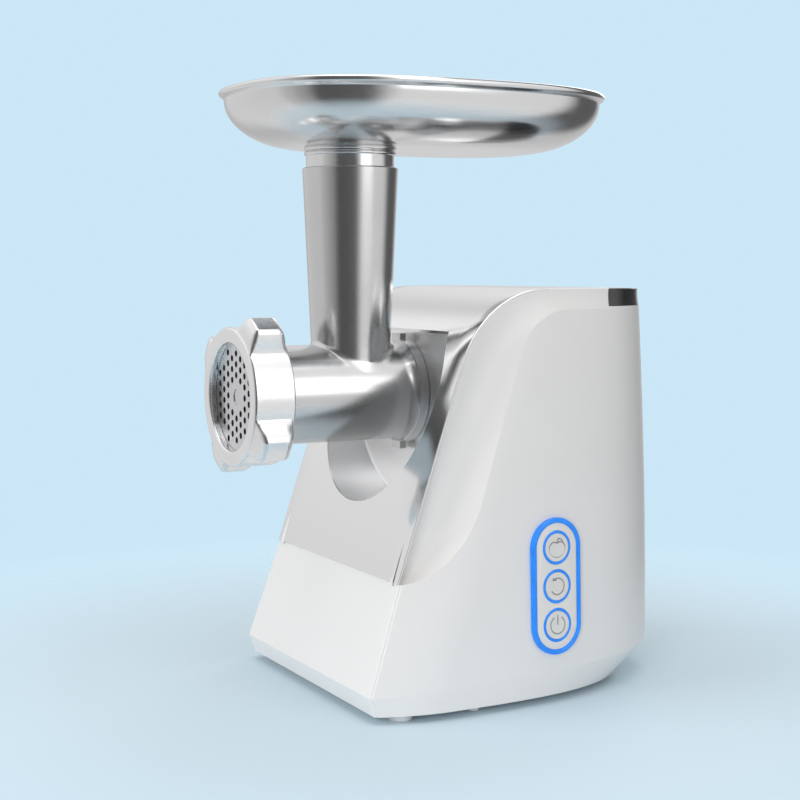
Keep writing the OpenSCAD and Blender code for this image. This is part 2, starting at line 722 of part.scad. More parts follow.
pressure_a = 20;
backlash = 0.12;
function inv(a) = tan(a) * 180 / PI - a;
function half_tooth(m, z, r) = let (rp = m * z / 2, rb = rp * cos(pressure_a))
  90 / z - backlash * m / rp * 90 / PI + inv(pressure_a) - (r > rb ? inv(acos(rb / r)) : 0);
// Gear outline in X and Z: involute flanks, tips at add * m outside the pitch circle
function gear_outline(m, z, add, turn) = let (rp = m * z / 2, lo = rp - 1.15 * m, hi = rp + add * m)
  [for (k = [0:z - 1]) each concat(
    [for (i = [0:4]) let (r = lo + (hi - lo) * i / 4, a = turn + k * 360 / z - half_tooth(m, z, r))
      [r * cos(a), r * sin(a)]],
    [for (i = [4:-1:0]) let (r = lo + (hi - lo) * i / 4, a = turn + k * 360 / z + half_tooth(m, z, r))
      [r * cos(a), r * sin(a)]])];
module gear(p, y0, y1, m, z, add, turn) {
  translate([p[0], 0, p[1]]) slab(y0, y1) polygon(gear_outline(m, z, add, turn));
}
pinion_add = 0.9;
wheel_add = 0.7;

gearbox_y = seat_y + 14;
plate_w = 4;
out_y = gearbox_y + plate_w + 1.5;
out_w = 10;
second_y = out_y + out_w + 1.5;
second_w = 7;
first_y = second_y + second_w + 1.5;
first_w = 6;
back_y = first_y + first_w + 1.5;
motor_y = back_y + plate_w;
axle_r = 3;
socket_r = 14;
tail_r = 8;
socket_end = out_y + out_w + 1;

module output_gear() {
  color([0.85, 0.83, 0.75])
  difference() {
    gear(axis, out_y, out_y + out_w, output_m, output_teeth, wheel_add, output_turn);
    bar(axis, out_y - 1, out_y + out_w + 1, socket_r + 0.02);
  }
}
module drive_socket() {
  color([0.5, 0.5, 0.52])
  difference() {
    union() {
      bar(axis, neck_end + gap + 1, socket_end, socket_r);
      bar(axis, socket_end - 1, back_y + plate_w - 0.5, tail_r);
    }
    translate([0, 0, axis_h]) slab(neck_end - 2, neck_end + 19.5) hexagon(hex_af + 2 * fit);
  }
}
module second_gear() {
  color([0.85, 0.83, 0.75])
  difference() {
    union() {
      gear(second_p, second_y, second_y + second_w, second_m, second_teeth, wheel_add, second_turn);
      gear(second_p, out_y, second_y + 1, output_m, pinion_teeth, pinion_add, second_turn);
    }
    bar(second_p, out_y - 1, second_y + second_w + 1, axle_r + fit);
  }
}
module first_gear() {
  color([0.85, 0.83, 0.75])
  difference() {
    union() {
      gear(first_p, first_y, first_y + first_w, first_m, first_teeth, wheel_add, first_turn);
      gear(first_p, second_y, first_y + 1, second_m, pinion_teeth, pinion_add, first_turn);
    }
    bar(first_p, second_y - 1, first_y + first_w + 1, axle_r + fit);
  }
}
nose_r = shaft_r - 1;
module motor_pinion() {
  color([0.6, 0.6, 0.62])
  difference() {
    gear(motor_p, first_y - 0.5, first_y + first_w + 1, first_m, pinion_teeth, pinion_add, 0);
    bar(motor_p, first_y - 2, first_y + first_w + 3, nose_r + 0.02);
  }
}
module gear_pins() {
  color([0.7, 0.7, 0.72])
  for (p = [first_p, second_p]) bar(p, gearbox_y + 1.5, back_y + plate_w - 1, axle_r);
}

box_r = output_m * (output_teeth / 2 + wheel_add) + 1.2;
box_left = first_p[0] - first_m * first_teeth / 2 - 3;
box_right = second_p[0] + second_m * second_teeth / 2 + 4;
box_low = motor_z - 12;
module box_outline(off) {
  translate([0, axis_h]) circle(box_r + off);
  translate([box_left - off, box_low - off])
    square([box_right - box_left + 2 * off, axis_h - box_low + off]);
}
box_wall = 2.4;
box_screw_spots = [[box_left + 3, axis_h - 28], [box_right - 3, axis_h - 4],
  [box_left + 3, box_low + 6], [box_right - 3, box_low + 6]];
neck_socket_r = neck_r + 3;
module gearbox_front() {
  color([0.75, 0.76, 0.77])
  difference() {
    union() {
      slab(gearbox_y, gearbox_y + plate_w) box_outline(box_wall);
      bar(axis, seat_y + seat_t + gap, gearbox_y + 1, neck_socket_r);
    }
    bar(axis, seat_y, neck_end + gap, neck_r + fit);
    bar(axis, seat_y, gearbox_y + plate_w + 1, socket_r + 3);
    for (p = [first_p, second_p]) bar(p, gearbox_y + 1.5, gearbox_y + plate_w + 1, axle_r + 0.02);
    for (p = box_screw_spots) bar(p, gearbox_y - 1, gearbox_y + plate_w + 1, screw_r + fit);
  }
}
module gearbox_rear() {
  color([0.75, 0.76, 0.77])
  difference() {
    union() {
      slab(gearbox_y + plate_w, back_y + plate_w) box_outline(box_wall);
      for (x = [box_left, box_right - 14])
        translate([x, gearbox_y + plate_w, base_z + base_t]) cube([14, 18, box_low - base_z]);
    }
    difference() {
      slab(gearbox_y + plate_w - 1, back_y) box_outline(0);
      for (p = box_screw_spots) bar(p, gearbox_y + plate_w, back_y, 2 * screw_r);
    }
    bar(axis, back_y - 1, back_y + plate_w + 1, tail_r + 3);
    for (p = [first_p, second_p]) bar(p, back_y - 1, back_y + plate_w - 1, axle_r + 0.02);
    bar(motor_p, back_y - 1, back_y + plate_w + 1, shaft_r + 6);
    for (p = box_screw_spots) bar(p, gearbox_y, gearbox_y + 20, screw_r - 0.3);
  }
}
module gearbox_screws() {
  color([0.6, 0.6, 0.62])
  for (p = box_screw_spots) {
    bar(p, gearbox_y - 2.4, gearbox_y, 2 * screw_r);
    bar(p, gearbox_y - 0.5, gearbox_y + 16, screw_r - 0.3);
  }
}
module front_bush() {
  color([0.72, 0.55, 0.3])
  difference() {
    bar(axis, neck_end + gap + 1, gearbox_y + plate_w, socket_r + 3);
    bar(axis, neck_end, gearbox_y + plate_w + 1, socket_r + fit);
  }
}
module rear_bearing() {
  color([0.7, 0.7, 0.72])
  difference() {
    bar(axis, back_y, back_y + plate_w, tail_r + 3);
    bar(axis, back_y - 1, back_y + plate_w + 1, tail_r + fit);
  }
}

// Motor --------------------------------------------------------------------------------

stack_y = motor_y + 13;
shaft_end = stack_y + motor_l + 24;
bearing_r = 9;
core_out = motor_r - 17.5;
slot_count = 12;
module rotor_shaft() {
  color([0.6, 0.6, 0.62])
  union() {
    bar(motor_p, first_y - 2, back_y + 1, nose_r);
    bar(motor_p, back_y, shaft_end, shaft_r);
  }
}
module rotor_core() {
  color([0.55, 0.56, 0.58])
  difference() {
    bar(motor_p, stack_y, stack_y + motor_l, core_out);
    bar(motor_p, stack_y - 1, stack_y + motor_l + 1, shaft_r + 0.02);
    for (i = [0:slot_count - 1]) translate([motor_p[0], stack_y - 1, motor_p[1]])
      rotate([0, i * 360 / slot_count, 0]) translate([core_out - 7, 0, -1.2])
      cube([8, motor_l + 2, 2.4]);
  }
}
comm_y = stack_y + motor_l + 6;
comm_l = 10;
comm_r = 12;
module commutator() {
  color([0.75, 0.45, 0.25])
  difference() {
    bar(motor_p, comm_y, comm_y + comm_l, comm_r);
    bar(motor_p, comm_y - 1, comm_y + comm_l + 1, shaft_r + 0.02);
    for (i = [0:slot_count - 1]) translate([motor_p[0], comm_y - 1, motor_p[1]])
      rotate([0, i * 360 / slot_count, 0]) translate([comm_r - 2, 0, -0.3])
      cube([4, comm_l + 2, 0.6]);
  }
}
fan_y = stack_y - 8;
fan_r = motor_r - 6;
module cooling_fan() {
  color([0.2, 0.2, 0.22])
  difference() {
    union() {
      bar(motor_p, fan_y, fan_y + 1.6, fan_r);
      bar(motor_p, fan_y, fan_y + 6, 8);
      for (i = [0:9]) translate([motor_p[0], fan_y + 1, motor_p[1]]) rotate([0, i * 36, 0])
        translate([7, 0, -0.7]) cube([fan_r - 8, 4.4, 1.4]);
    }
    bar(motor_p, fan_y - 1, fan_y + 8, shaft_r + 0.02);
  }
}
coil_in = core_out + 1;
coil_out = coil_in + 7;
coil_over = 2;
// A sector of a tube round the motor shaft, centred on angle a
module sector(y0, y1, r0, r1, a, width) {
  translate([motor_p[0], y1, motor_p[1]]) rotate([90, 0, 0]) rotate([0, 0, a - width / 2])
    rotate_extrude(angle = width) translate([r0, 0]) square([r1 - r0, y1 - y0]);
}
module stator() {
  color([0.5, 0.5, 0.52])
  union() {
    difference() {
      bar(motor_p, stack_y, stack_y + motor_l, motor_r);
      bar(motor_p, stack_y - 1, stack_y + motor_l + 1, coil_out + gap);
    }
    for (a = [0, 180]) sector(stack_y + 1, stack_y + motor_l - 1, coil_in - 0.4, coil_out + 1, a, 70);
  }
}
module field_coils() {
  color([0.7, 0.4, 0.2])
  for (a = [90, 270]) sector(stack_y - coil_over, stack_y + motor_l + coil_over, coil_in, coil_out,
    a, 96);
}
module bracket(y0, y1) {
  difference() {
    bar(motor_p, y0, y1, motor_r);
    bar(motor_p, y0 - 1, y1 + 1, bearing_r + 0.02);
    for (i = [0:3]) translate([motor_p[0], y0 - 1, motor_p[1]]) rotate([0, i * 90 + 45, 0])
      translate([bearing_r + 6, 0, -8]) cube([motor_r - bearing_r - 12, y1 - y0 + 2, 16]);
  }
}
bracket_t = 4;
brush_l = motor_r - comm_r - 2.5;
brush_gap = 0.15;
rear_bracket_y = comm_y + comm_l + 1.5;
module motor_front_bracket() {
  color([0.7, 0.71, 0.72])
  union() {
    bracket(back_y + plate_w, back_y + plate_w + bracket_t);
    difference() {
      bar(motor_p, back_y + plate_w, stack_y, motor_r);
      bar(motor_p, back_y, stack_y + 1, motor_r - 2);
    }
  }
}
module motor_rear_bracket() {
  color([0.7, 0.71, 0.72])
  union() {
    bracket(rear_bracket_y, rear_bracket_y + bracket_t);
    difference() {
      bar(motor_p, stack_y + motor_l, rear_bracket_y + bracket_t, motor_r);
      bar(motor_p, stack_y + motor_l - 1, rear_bracket_y + bracket_t + 1, motor_r - 2);
    }
  }
}
module rotor_bearings() {
  color([0.75, 0.75, 0.77])
  for (y = [back_y + plate_w, rear_bracket_y]) difference() {
    bar(motor_p, y, y + bracket_t, bearing_r);
    bar(motor_p, y - 1, y + bracket_t + 1, shaft_r + fit);
  }
}
module carbon_brushes() {
  color([0.15, 0.15, 0.15])
  for (x = [comm_r + brush_gap, -comm_r - brush_gap - brush_l])
    translate([x, comm_y + 2, motor_z - 3]) cube([brush_l, 6, 6]);
}

// Middle of the bounding box, from the pieces that reach furthest ----------------------

side_max = max([for (p = crease_ring(0)) p[0]]);
origin_x = (panel_out - side_max) / 2;
origin_y = (rear_y_at(gland_z) + gland_proud - nut_reach) / 2;
module in_frame() { translate([-origin_x, -origin_y, 0]) children(); }

in_frame() tray();
in_frame() grinder_head();
in_frame() ring_nut();
in_frame() cutting_plate();
in_frame() auger();
in_frame() auger_bush();
in_frame() cross_blade();
in_frame() main_housing();
in_frame() steel_panel();
in_frame() head_seat();
in_frame() rear_top_cap();
in_frame() base_plate();
in_frame() feet();
in_frame() base_screws();
in_frame() panel_band_light();
in_frame() control_plate();
in_frame() button_halos();
in_frame() fruit_button();
in_frame() reverse_button();
in_frame() power_button();
in_frame() control_board();
in_frame() micro_switches();
in_frame() cord_gland();
in_frame() gearbox_front();
in_frame() gearbox_rear();
in_frame() gearbox_screws();
in_frame() front_bush();
in_frame() rear_bearing();
in_frame() drive_socket();
in_frame() output_gear();
in_frame() second_gear();
in_frame() first_gear();
in_frame() gear_pins();
in_frame() rotor_shaft();
in_frame() rotor_core();
in_frame() commutator();
in_frame() motor_pinion();
in_frame() cooling_fan();
in_frame() stator();
in_frame() field_coils();
in_frame() motor_front_bracket();
in_frame() motor_rear_bracket();
in_frame() rotor_bearings();
in_frame() carbon_brushes();
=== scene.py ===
import json
import math

import bpy
import numpy as np
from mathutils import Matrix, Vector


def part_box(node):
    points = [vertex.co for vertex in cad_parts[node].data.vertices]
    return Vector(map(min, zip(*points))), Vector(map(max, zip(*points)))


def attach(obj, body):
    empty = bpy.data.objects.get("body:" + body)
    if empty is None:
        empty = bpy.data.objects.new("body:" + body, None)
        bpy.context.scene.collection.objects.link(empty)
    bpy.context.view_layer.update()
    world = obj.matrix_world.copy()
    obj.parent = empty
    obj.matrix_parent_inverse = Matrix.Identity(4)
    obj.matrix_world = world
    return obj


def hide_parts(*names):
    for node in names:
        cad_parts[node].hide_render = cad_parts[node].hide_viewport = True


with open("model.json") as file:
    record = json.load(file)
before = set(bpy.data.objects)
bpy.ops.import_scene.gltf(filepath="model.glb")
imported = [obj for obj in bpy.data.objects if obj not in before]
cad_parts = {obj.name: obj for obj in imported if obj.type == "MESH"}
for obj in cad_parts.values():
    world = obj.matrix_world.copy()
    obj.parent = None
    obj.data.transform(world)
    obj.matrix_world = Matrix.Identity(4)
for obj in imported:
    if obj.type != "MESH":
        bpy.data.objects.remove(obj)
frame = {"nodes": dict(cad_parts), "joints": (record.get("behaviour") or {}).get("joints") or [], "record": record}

# An electric meat grinder: a white plastic motor base with a bent polished steel front, a cast
# metal grinding head with its ring nut, an oval steel tray, and a column of lit push buttons.

# -- Stage ---------------------------------------------------------------------------------
# The camera stands in front of the corner between the outlet and the buttons, a little above
# the base. A pale floor, soft panels of light and a bright room that metal can mirror.
MM = 0.001
record = frame["record"]
joint = {j["name"]: j for j in frame["joints"]}
mount = {m["name"]: m for m in record["mounts"]}
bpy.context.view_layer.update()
plate_low, plate_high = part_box("cutting_plate")
mid_x = (plate_low[0] + plate_high[0]) / 2
axis_z = (plate_low[2] + plate_high[2]) / 2
tube_y = mount["feed_neck"]["pos_m"][1]
place = np.array([mid_x, tube_y, 0.0])
scene = bpy.context.scene

camera_turn, camera_drop = math.radians(62.21), math.radians(4.81)
camera_data = bpy.data.cameras.new("camera")
camera_data.lens = 70.04
camera_data.sensor_width = 36.0
camera_data.clip_start = 0.05
camera = bpy.data.objects.new("camera", camera_data)
camera.location = (mid_x + 751.18 * MM, tube_y - 365.96 * MM, 225.58 * MM)
camera.rotation_euler = (math.pi / 2 - camera_drop, 0.0, camera_turn)
scene.collection.objects.link(camera)
scene.camera = camera
scene.view_settings.view_transform = "Standard"


def soft_panel(name, spot, size, power, mirrored=True, look_at=(0.0, 0.0, 0.14)):
    """A square area light at spot that faces look_at: its -Z axis points along their difference.
    With mirrored false, it lights the object but polished metal doesn't show it."""
    data = bpy.data.lights.new(name, "AREA")
    data.shape = "RECTANGLE"
    data.size, data.size_y = size
    data.energy = power
    lamp = bpy.data.objects.new(name, data)
    away = np.subtract(spot, look_at)
    lamp.location = spot
    turn = math.atan2(away[0], -away[1])
    lamp.rotation_euler = (math.atan2(math.hypot(away[0], away[1]), away[2]), 0.0, turn)
    lamp.visible_glossy = mirrored
    scene.collection.objects.link(lamp)


soft_panel("front_panel", (-0.35, -1.7, 0.9), (1.2, 1.0), 12.0, mirrored=False)
soft_panel("side_panel", (1.9, 0.5, 0.9), (1.0, 1.4), 5.5)
soft_panel("fill_panel", (1.3, -1.3, 0.5), (0.8, 0.8), 12.0, mirrored=False)
soft_panel("top_panel", (0.1, 0.0, 1.9), (1.4, 1.4), 10.0)
soft_panel("back_panel", (-1.2, 1.5, 1.0), (1.0, 1.0), 5.0)

floor_mesh = bpy.data.meshes.new("floor")
reach = 12.0
floor_mesh.from_pydata([(-reach, -reach, 0), (reach, -reach, 0), (reach, reach, 0), (-reach, reach, 0)],
                       [], [(0, 1, 2, 3)])
floor = bpy.data.objects.new("floor", floor_mesh)
floor_paint = bpy.data.materials.new("floor_paint")
floor_paint.use_nodes = True
floor_shader = floor_paint.node_tree.nodes["Principled BSDF"]
floor_shader.inputs["Base Color"].default_value = (0.66, 0.80, 0.88, 1)
floor_shader.inputs["Roughness"].default_value = 0.75
# Away from the middle the floor fades out, so that no horizon shows against the plain room
floor_tree = floor_paint.node_tree
floor_clear = floor_tree.nodes.new("ShaderNodeBsdfTransparent")
floor_place = floor_tree.nodes.new("ShaderNodeTexCoord")
floor_far = floor_tree.nodes.new("ShaderNodeVectorMath")
floor_far.operation = "LENGTH"
floor_fade = floor_tree.nodes.new("ShaderNodeMapRange")
floor_fade.interpolation_type = "SMOOTHSTEP"
floor_fade.inputs["From Min"].default_value = 0.12
floor_fade.inputs["From Max"].default_value = 0.50
floor_mix = floor_tree.nodes.new("ShaderNodeMixShader")
floor_tree.links.new(floor_place.outputs["Object"], floor_far.inputs[0])
floor_tree.links.new(floor_far.outputs["Value"], floor_fade.inputs["Value"])
floor_tree.links.new(floor_fade.outputs[0], floor_mix.inputs[0])
floor_tree.links.new(floor_shader.outputs[0], floor_mix.inputs[1])
floor_tree.links.new(floor_clear.outputs[0], floor_mix.inputs[2])
floor_tree.links.new(floor_mix.outputs[0], floor_tree.nodes["Material Output"].inputs["Surface"])
floor_mesh.materials.append(floor_paint)
scene.collection.objects.link(floor)

# The room: the eye sees it plain, matt surfaces get its even light, and what metal mirrors of it
# has tall bright windows and dark gaps
world = bpy.data.worlds.new("studio")
world.use_nodes = True
scene.world = world
room = world.node_tree
room.nodes.clear()
out = room.nodes.new("ShaderNodeOutputWorld")
plain = room.nodes.new("ShaderNodeBackground")
plain.inputs["Color"].default_value = (0.36, 0.36, 0.36, 1)
soft = room.nodes.new("ShaderNodeMixShader")
mix = room.nodes.new("ShaderNodeMixShader")
path = room.nodes.new("ShaderNodeLightPath")
seen = room.nodes.new("ShaderNodeBackground")
seen.inputs["Color"].default_value = (0.60, 0.80, 0.93, 1)
mirrored = room.nodes.new("ShaderNodeBackground")
mirrored.inputs["Strength"].default_value = 0.86
where = room.nodes.new("ShaderNodeTexCoord")
split = room.nodes.new("ShaderNodeSeparateXYZ")
turn = room.nodes.new("ShaderNodeMath")
turn.operation = "ARCTAN2"
turn_part = room.nodes.new("ShaderNodeMapRange")
turn_part.inputs["From Min"].default_value = -math.pi
turn_part.inputs["From Max"].default_value = math.pi
windows = room.nodes.new("ShaderNodeValToRGB")
windows.color_ramp.interpolation = "EASE"
ramp = windows.color_ramp.elements
ramp[0].position, ramp[0].color = 0.0, (0.85, 0.85, 0.86, 1)
ramp[1].position, ramp[1].color = 1.0, (0.85, 0.85, 0.86, 1)
for part, shade in ((0.05, 1.15), (0.22, 1.20), (0.27, 0.85), (0.33, 1.10), (0.39, 0.95), (0.44, 0.20),
                    (0.52, 0.18), (0.58, 1.30), (0.73, 1.35), (0.79, 0.20), (0.90, 0.16), (0.95, 0.60)):
    stop = ramp.new(part)
    stop.color = (shade, shade, shade * 1.01, 1)
height = room.nodes.new("ShaderNodeValToRGB")
height.color_ramp.interpolation = "EASE"
tall = height.color_ramp.elements
tall[0].position, tall[0].color = 0.0, (0.80, 0.80, 0.80, 1)
tall[1].position, tall[1].color = 1.0, (1.0, 1.0, 1.0, 1)
for part, shade in ((0.46, 0.75), (0.52, 0.75), (0.60, 0.85), (0.75, 1.0)):
    stop = tall.new(part)
    stop.color = (shade, shade, shade, 1)
height_part = room.nodes.new("ShaderNodeMapRange")
height_part.inputs["From Min"].default_value = -1.0
both = room.nodes.new("ShaderNodeMix")
both.data_type = "RGBA"
both.blend_type = "MULTIPLY"
both.inputs["Factor"].default_value = 1.0
wire = room.links.new
wire(where.outputs["Generated"], split.inputs[0])
wire(split.outputs["X"], turn.inputs[0])
wire(split.outputs["Y"], turn.inputs[1])
wire(turn.outputs[0], turn_part.inputs["Value"])
wire(turn_part.outputs[0], windows.inputs["Fac"])
wire(split.outputs["Z"], height_part.inputs["Value"])
wire(height_part.outputs[0], height.inputs["Fac"])
wire(windows.outputs[0], both.inputs["A"])
wire(height.outputs[0], both.inputs["B"])
wire(both.outputs["Result"], mirrored.inputs["Color"])
wire(path.outputs["Is Diffuse Ray"], soft.inputs[0])
wire(mirrored.outputs[0], soft.inputs[1])
wire(plain.outputs[0], soft.inputs[2])
wire(path.outputs["Is Camera Ray"], mix.inputs[0])
wire(soft.outputs[0], mix.inputs[1])
wire(seen.outputs[0], mix.inputs[2])
wire(mix.outputs[0], out.inputs["Surface"])

# -- Motor base housing --------------------------------------------------------------------
# The white shell, moulded in one piece in satin gloss plastic, open underneath. Its sides are
# full ovals, and a shallow scoop follows the edge of the steel from the front to the top.
body_h, side_half, side_draft = 215 * MM, 87 * MM, 0.046
face_half, foot_half = 74.5 * MM, 78.3 * MM
front_y, front_lean, rear_y = -28.4 * MM, 0.337, 171 * MM
sheet_z, bend_r, wall = 68.6 * MM, 52 * MM, 2.6 * MM
scoop_w, scoop_sag, scoop_low_h, scoop_tuck = 30.5 * MM, 2.8 * MM, 38.4 * MM, 4.0 * MM
scoop_deep_z, scoop_deep_h, scoop_fade_z, scoop_fade_h = 150 * MM, 70 * MM, 170 * MM, 45 * MM
crease_front, crease_rear = 14 * MM, 20.5 * MM
lean_a = math.atan(front_lean)
bend_z = body_h - bend_r


def slope_y(z):
    """Y of the flat front at height z: a straight line leaning back by front_lean."""
    return front_y + (z - crease_front) * front_lean


bend_y = slope_y(bend_z) + bend_r / math.cos(lean_a)
scoop_top, scoop_bend_r = body_h - 10 * MM, 31.5 * MM
scoop_bend_z = scoop_top - scoop_bend_r
scoop_bend_y = slope_y(scoop_bend_z) + scoop_w + scoop_bend_r / math.cos(lean_a)
bulge_l, rear_drop, top_chamfer = 43 * MM, 11 * MM, 0.6 * MM


def rear_at(z):
    """Y of the back wall at height z: a parabola that leans forward towards the top."""
    return rear_y - rear_drop * (z / (208 * MM)) ** 2


def crease_at(y):
    """Height of the crease round the foot: it rises towards the back as a power of the way there."""
    way = np.clip((y - front_y) / (rear_y - front_y), 0, 1)
    return crease_front + (crease_rear - crease_front) * way ** 1.3


def oval_half(y, wide, corner, y_wide, y_front, y_back):
    """Half width at y: a parabola from corner to wide in front of y_wide, a cubic oval behind it."""
    behind = wide * np.clip(1 - (np.maximum(y - y_wide, 0) / (y_back - y_wide)) ** 3, 0, 1) ** (1 / 3)
    ahead = wide - (wide - corner) * ((y_wide - y) / (y_wide - y_front)) ** 2
    return np.where(y > y_wide, behind, ahead)


def side_at(y, z):
    """Half width of the plain side at y and z, with a drafted width and the corner of the front."""
    way = (z - crease_front) / (sheet_z - crease_front)
    corner = np.maximum(face_half, foot_half - (foot_half - face_half) * way)
    return oval_half(y, side_half - side_draft * z, corner, slope_y(z) + bulge_l, slope_y(z), rear_at(z))


def front_at(z):
    """Y of the front at height z: the slope, then a bend of bend_r that ends level at the top."""
    rise = np.clip(z - bend_z, 0, bend_r)
    bend = bend_y - np.sqrt(bend_r ** 2 - rise ** 2)
    return np.where(z < bend_z + bend_r * math.sin(lean_a), slope_y(z), bend)


def scoop_edge_at(z):
    """Y of the scoop's outline: a quarter ellipse, a line beside the slope, and a bend to scoop_top."""
    up = np.clip((sheet_z + scoop_low_h - z) / scoop_low_h, 0, 1)
    reach_back = np.where(z <= sheet_z, 0, scoop_w * np.sqrt(1 - up ** 2))
    rise = np.clip(z - scoop_bend_z, 0, scoop_bend_r)
    bent = scoop_bend_y - np.sqrt(scoop_bend_r ** 2 - rise ** 2)
    return np.where(z < scoop_bend_z + scoop_bend_r * math.sin(lean_a), slope_y(z) + reach_back,
                    np.where(z < scoop_top, bent, scoop_bend_y))


def depth_in(y, z, y_mid, z_mid, radius, off):
    """Distance inside an outline made of the slope moved back by off, a bend, and a level top."""
    along = (y - y_mid) * math.sin(lean_a) + (z - z_mid) * math.cos(lean_a)
    bend = radius - np.hypot(y - y_mid, z - z_mid)
    slope = (y - slope_y(z) - off) * math.cos(lean_a)
    return np.where((y < y_mid) & (along > 0), bend, np.where(along <= 0, slope, z_mid + radius - z))


def scoop_part(y, z):
    """0 on the scoop's outline and 1 on the edge of the steel, by distance between the two."""
    reach_back = np.maximum(scoop_edge_at(z) - slope_y(z), 0.01 * MM)
    low = np.clip(1 - (y - slope_y(z)) / reach_back, 0, 1)
    inner = depth_in(y, z, scoop_bend_y, scoop_bend_z, scoop_bend_r, scoop_w)
    outer = depth_in(y, z, bend_y, bend_z, bend_r, 0)
    high = np.where(inner >= 0, 0, np.clip(-inner / np.maximum(outer - inner, 0.001 * MM), 0, 1))
    return np.where(z <= sheet_z, 0, np.where(z < scoop_bend_z - 20 * MM, low, high))


def skin_at(y, z):
    """Half width of the skin: the side drawn in by t to the steel's edge, less a hollow 4t(1-t).
    Low down the hollow doubles and tucks in under the steel's edge."""
    side, t = side_at(y, z), scoop_part(y, z)
    low = np.clip((scoop_deep_z - z) / scoop_deep_h, 0, 1)
    edge = np.minimum(face_half - scoop_tuck * low, side - top_chamfer)
    fade = np.clip(1 - (z - scoop_fade_z) / scoop_fade_h, 0.2, 1) * (1 + low)
    return side - t * (side - edge) - 4 * scoop_sag * fade * t * (1 - t)


def surface(name, points, wrap_u=False, wrap_v=False, caps=(), outward=True):
    """Mesh object from points[v, u, xyz]: quads between neighbours, joined round where wrapped.
    A cap closes the first or the last row with one face. Closed shapes are turned outward by volume."""
    rows, columns = points.shape[:2]
    index = np.arange(rows * columns).reshape(rows, columns)
    if wrap_u:
        index = np.hstack([index, index[:, :1]])
    if wrap_v:
        index = np.vstack([index, index[:1]])
    quads = np.stack([index[:-1, :-1], index[:-1, 1:], index[1:, 1:], index[1:, :-1]], -1).reshape(-1, 4)
    flat = points.reshape(-1, 3) + place
    faces = quads.tolist()
    for end in caps:
        ring = np.arange(columns) + end * columns
        faces.append((ring[::-1] if end == 0 else ring).tolist())
    p, q, r, s = (flat[quads[:, k]] for k in range(4))
    centre = flat.mean(0)
    volume = np.einsum("ij,ij->i", p - centre, np.cross(q - centre, r - centre)).sum()
    volume += np.einsum("ij,ij->i", p - centre, np.cross(r - centre, s - centre)).sum()
    if outward and volume < 0:
        faces = [f[::-1] for f in faces]
    mesh = bpy.data.meshes.new(name)
    mesh.from_pydata(flat.tolist(), [], faces)
    mesh.validate()
    piece = bpy.data.objects.new(name, mesh)
    scene.collection.objects.link(piece)
    return piece


def smooth(piece, degrees=32):
    """Smooth shading, with edges over the given angle kept sharp."""
    piece.data.shade_smooth()
    piece.data.set_sharp_from_angle(angle=math.radians(degrees))
    return piece


def settle(piece):
    """Puts the result of the piece's modifiers into its mesh and clears them."""
    shown = piece.evaluated_get(bpy.context.evaluated_depsgraph_get())
    mesh = bpy.data.meshes.new_from_object(shown)
    piece.modifiers.clear()
    piece.data = mesh
    return piece


def carve(piece, tool, how="DIFFERENCE"):
    """Cuts, joins or trims piece with tool, which is used up."""
    cut = piece.modifiers.new("cut", "BOOLEAN")
    cut.operation, cut.solver, cut.object = how, "MANIFOLD", tool
    settle(piece)
    bpy.data.objects.remove(tool)
    return piece


def block(low, high):
    """A closed box between two corners, as a tool to cut with."""
    x, y, z = (np.array([a, b]) for a, b in zip(low, high))
    ring = np.array([[x[0], y[0]], [x[1], y[0]], [x[1], y[1]], [x[0], y[1]]])
    rows = np.stack([np.column_stack([ring, np.full(4, h)]) for h in z])
    return surface("block", rows, wrap_u=True, caps=(0, 1))


def turned(name, section, along="y", steps=192, centre=None, closed=True):
    """A closed section of (radius, distance) carried round an axis through centre.
    With closed false, the section starts and ends on the axis and both poles are single faces."""
    centre = (0.0, 0.0, axis_z) if centre is None else centre
    section = np.asarray(section, float)
    angle = np.linspace(0, 2 * math.pi, steps, endpoint=False)
    r, h = section[:, :1], section[:, 1:2] + 0 * angle
    a, b = r * np.cos(angle), r * np.sin(angle)
    order = {"y": (a, h, b), "z": (a, b, h)}[along]
    rows = np.stack(order, -1) + np.asarray(centre)
    caps = () if closed else (0, len(section) - 1)
    return surface(name, rows, wrap_u=True, wrap_v=closed, caps=caps)


def rod(low, high, radius, along="y", centre=None, steps=192):
    """A plain closed cylinder, as a tool to cut with."""
    return turned("rod", [(radius, low), (radius, high)], along, steps, centre, closed=False)


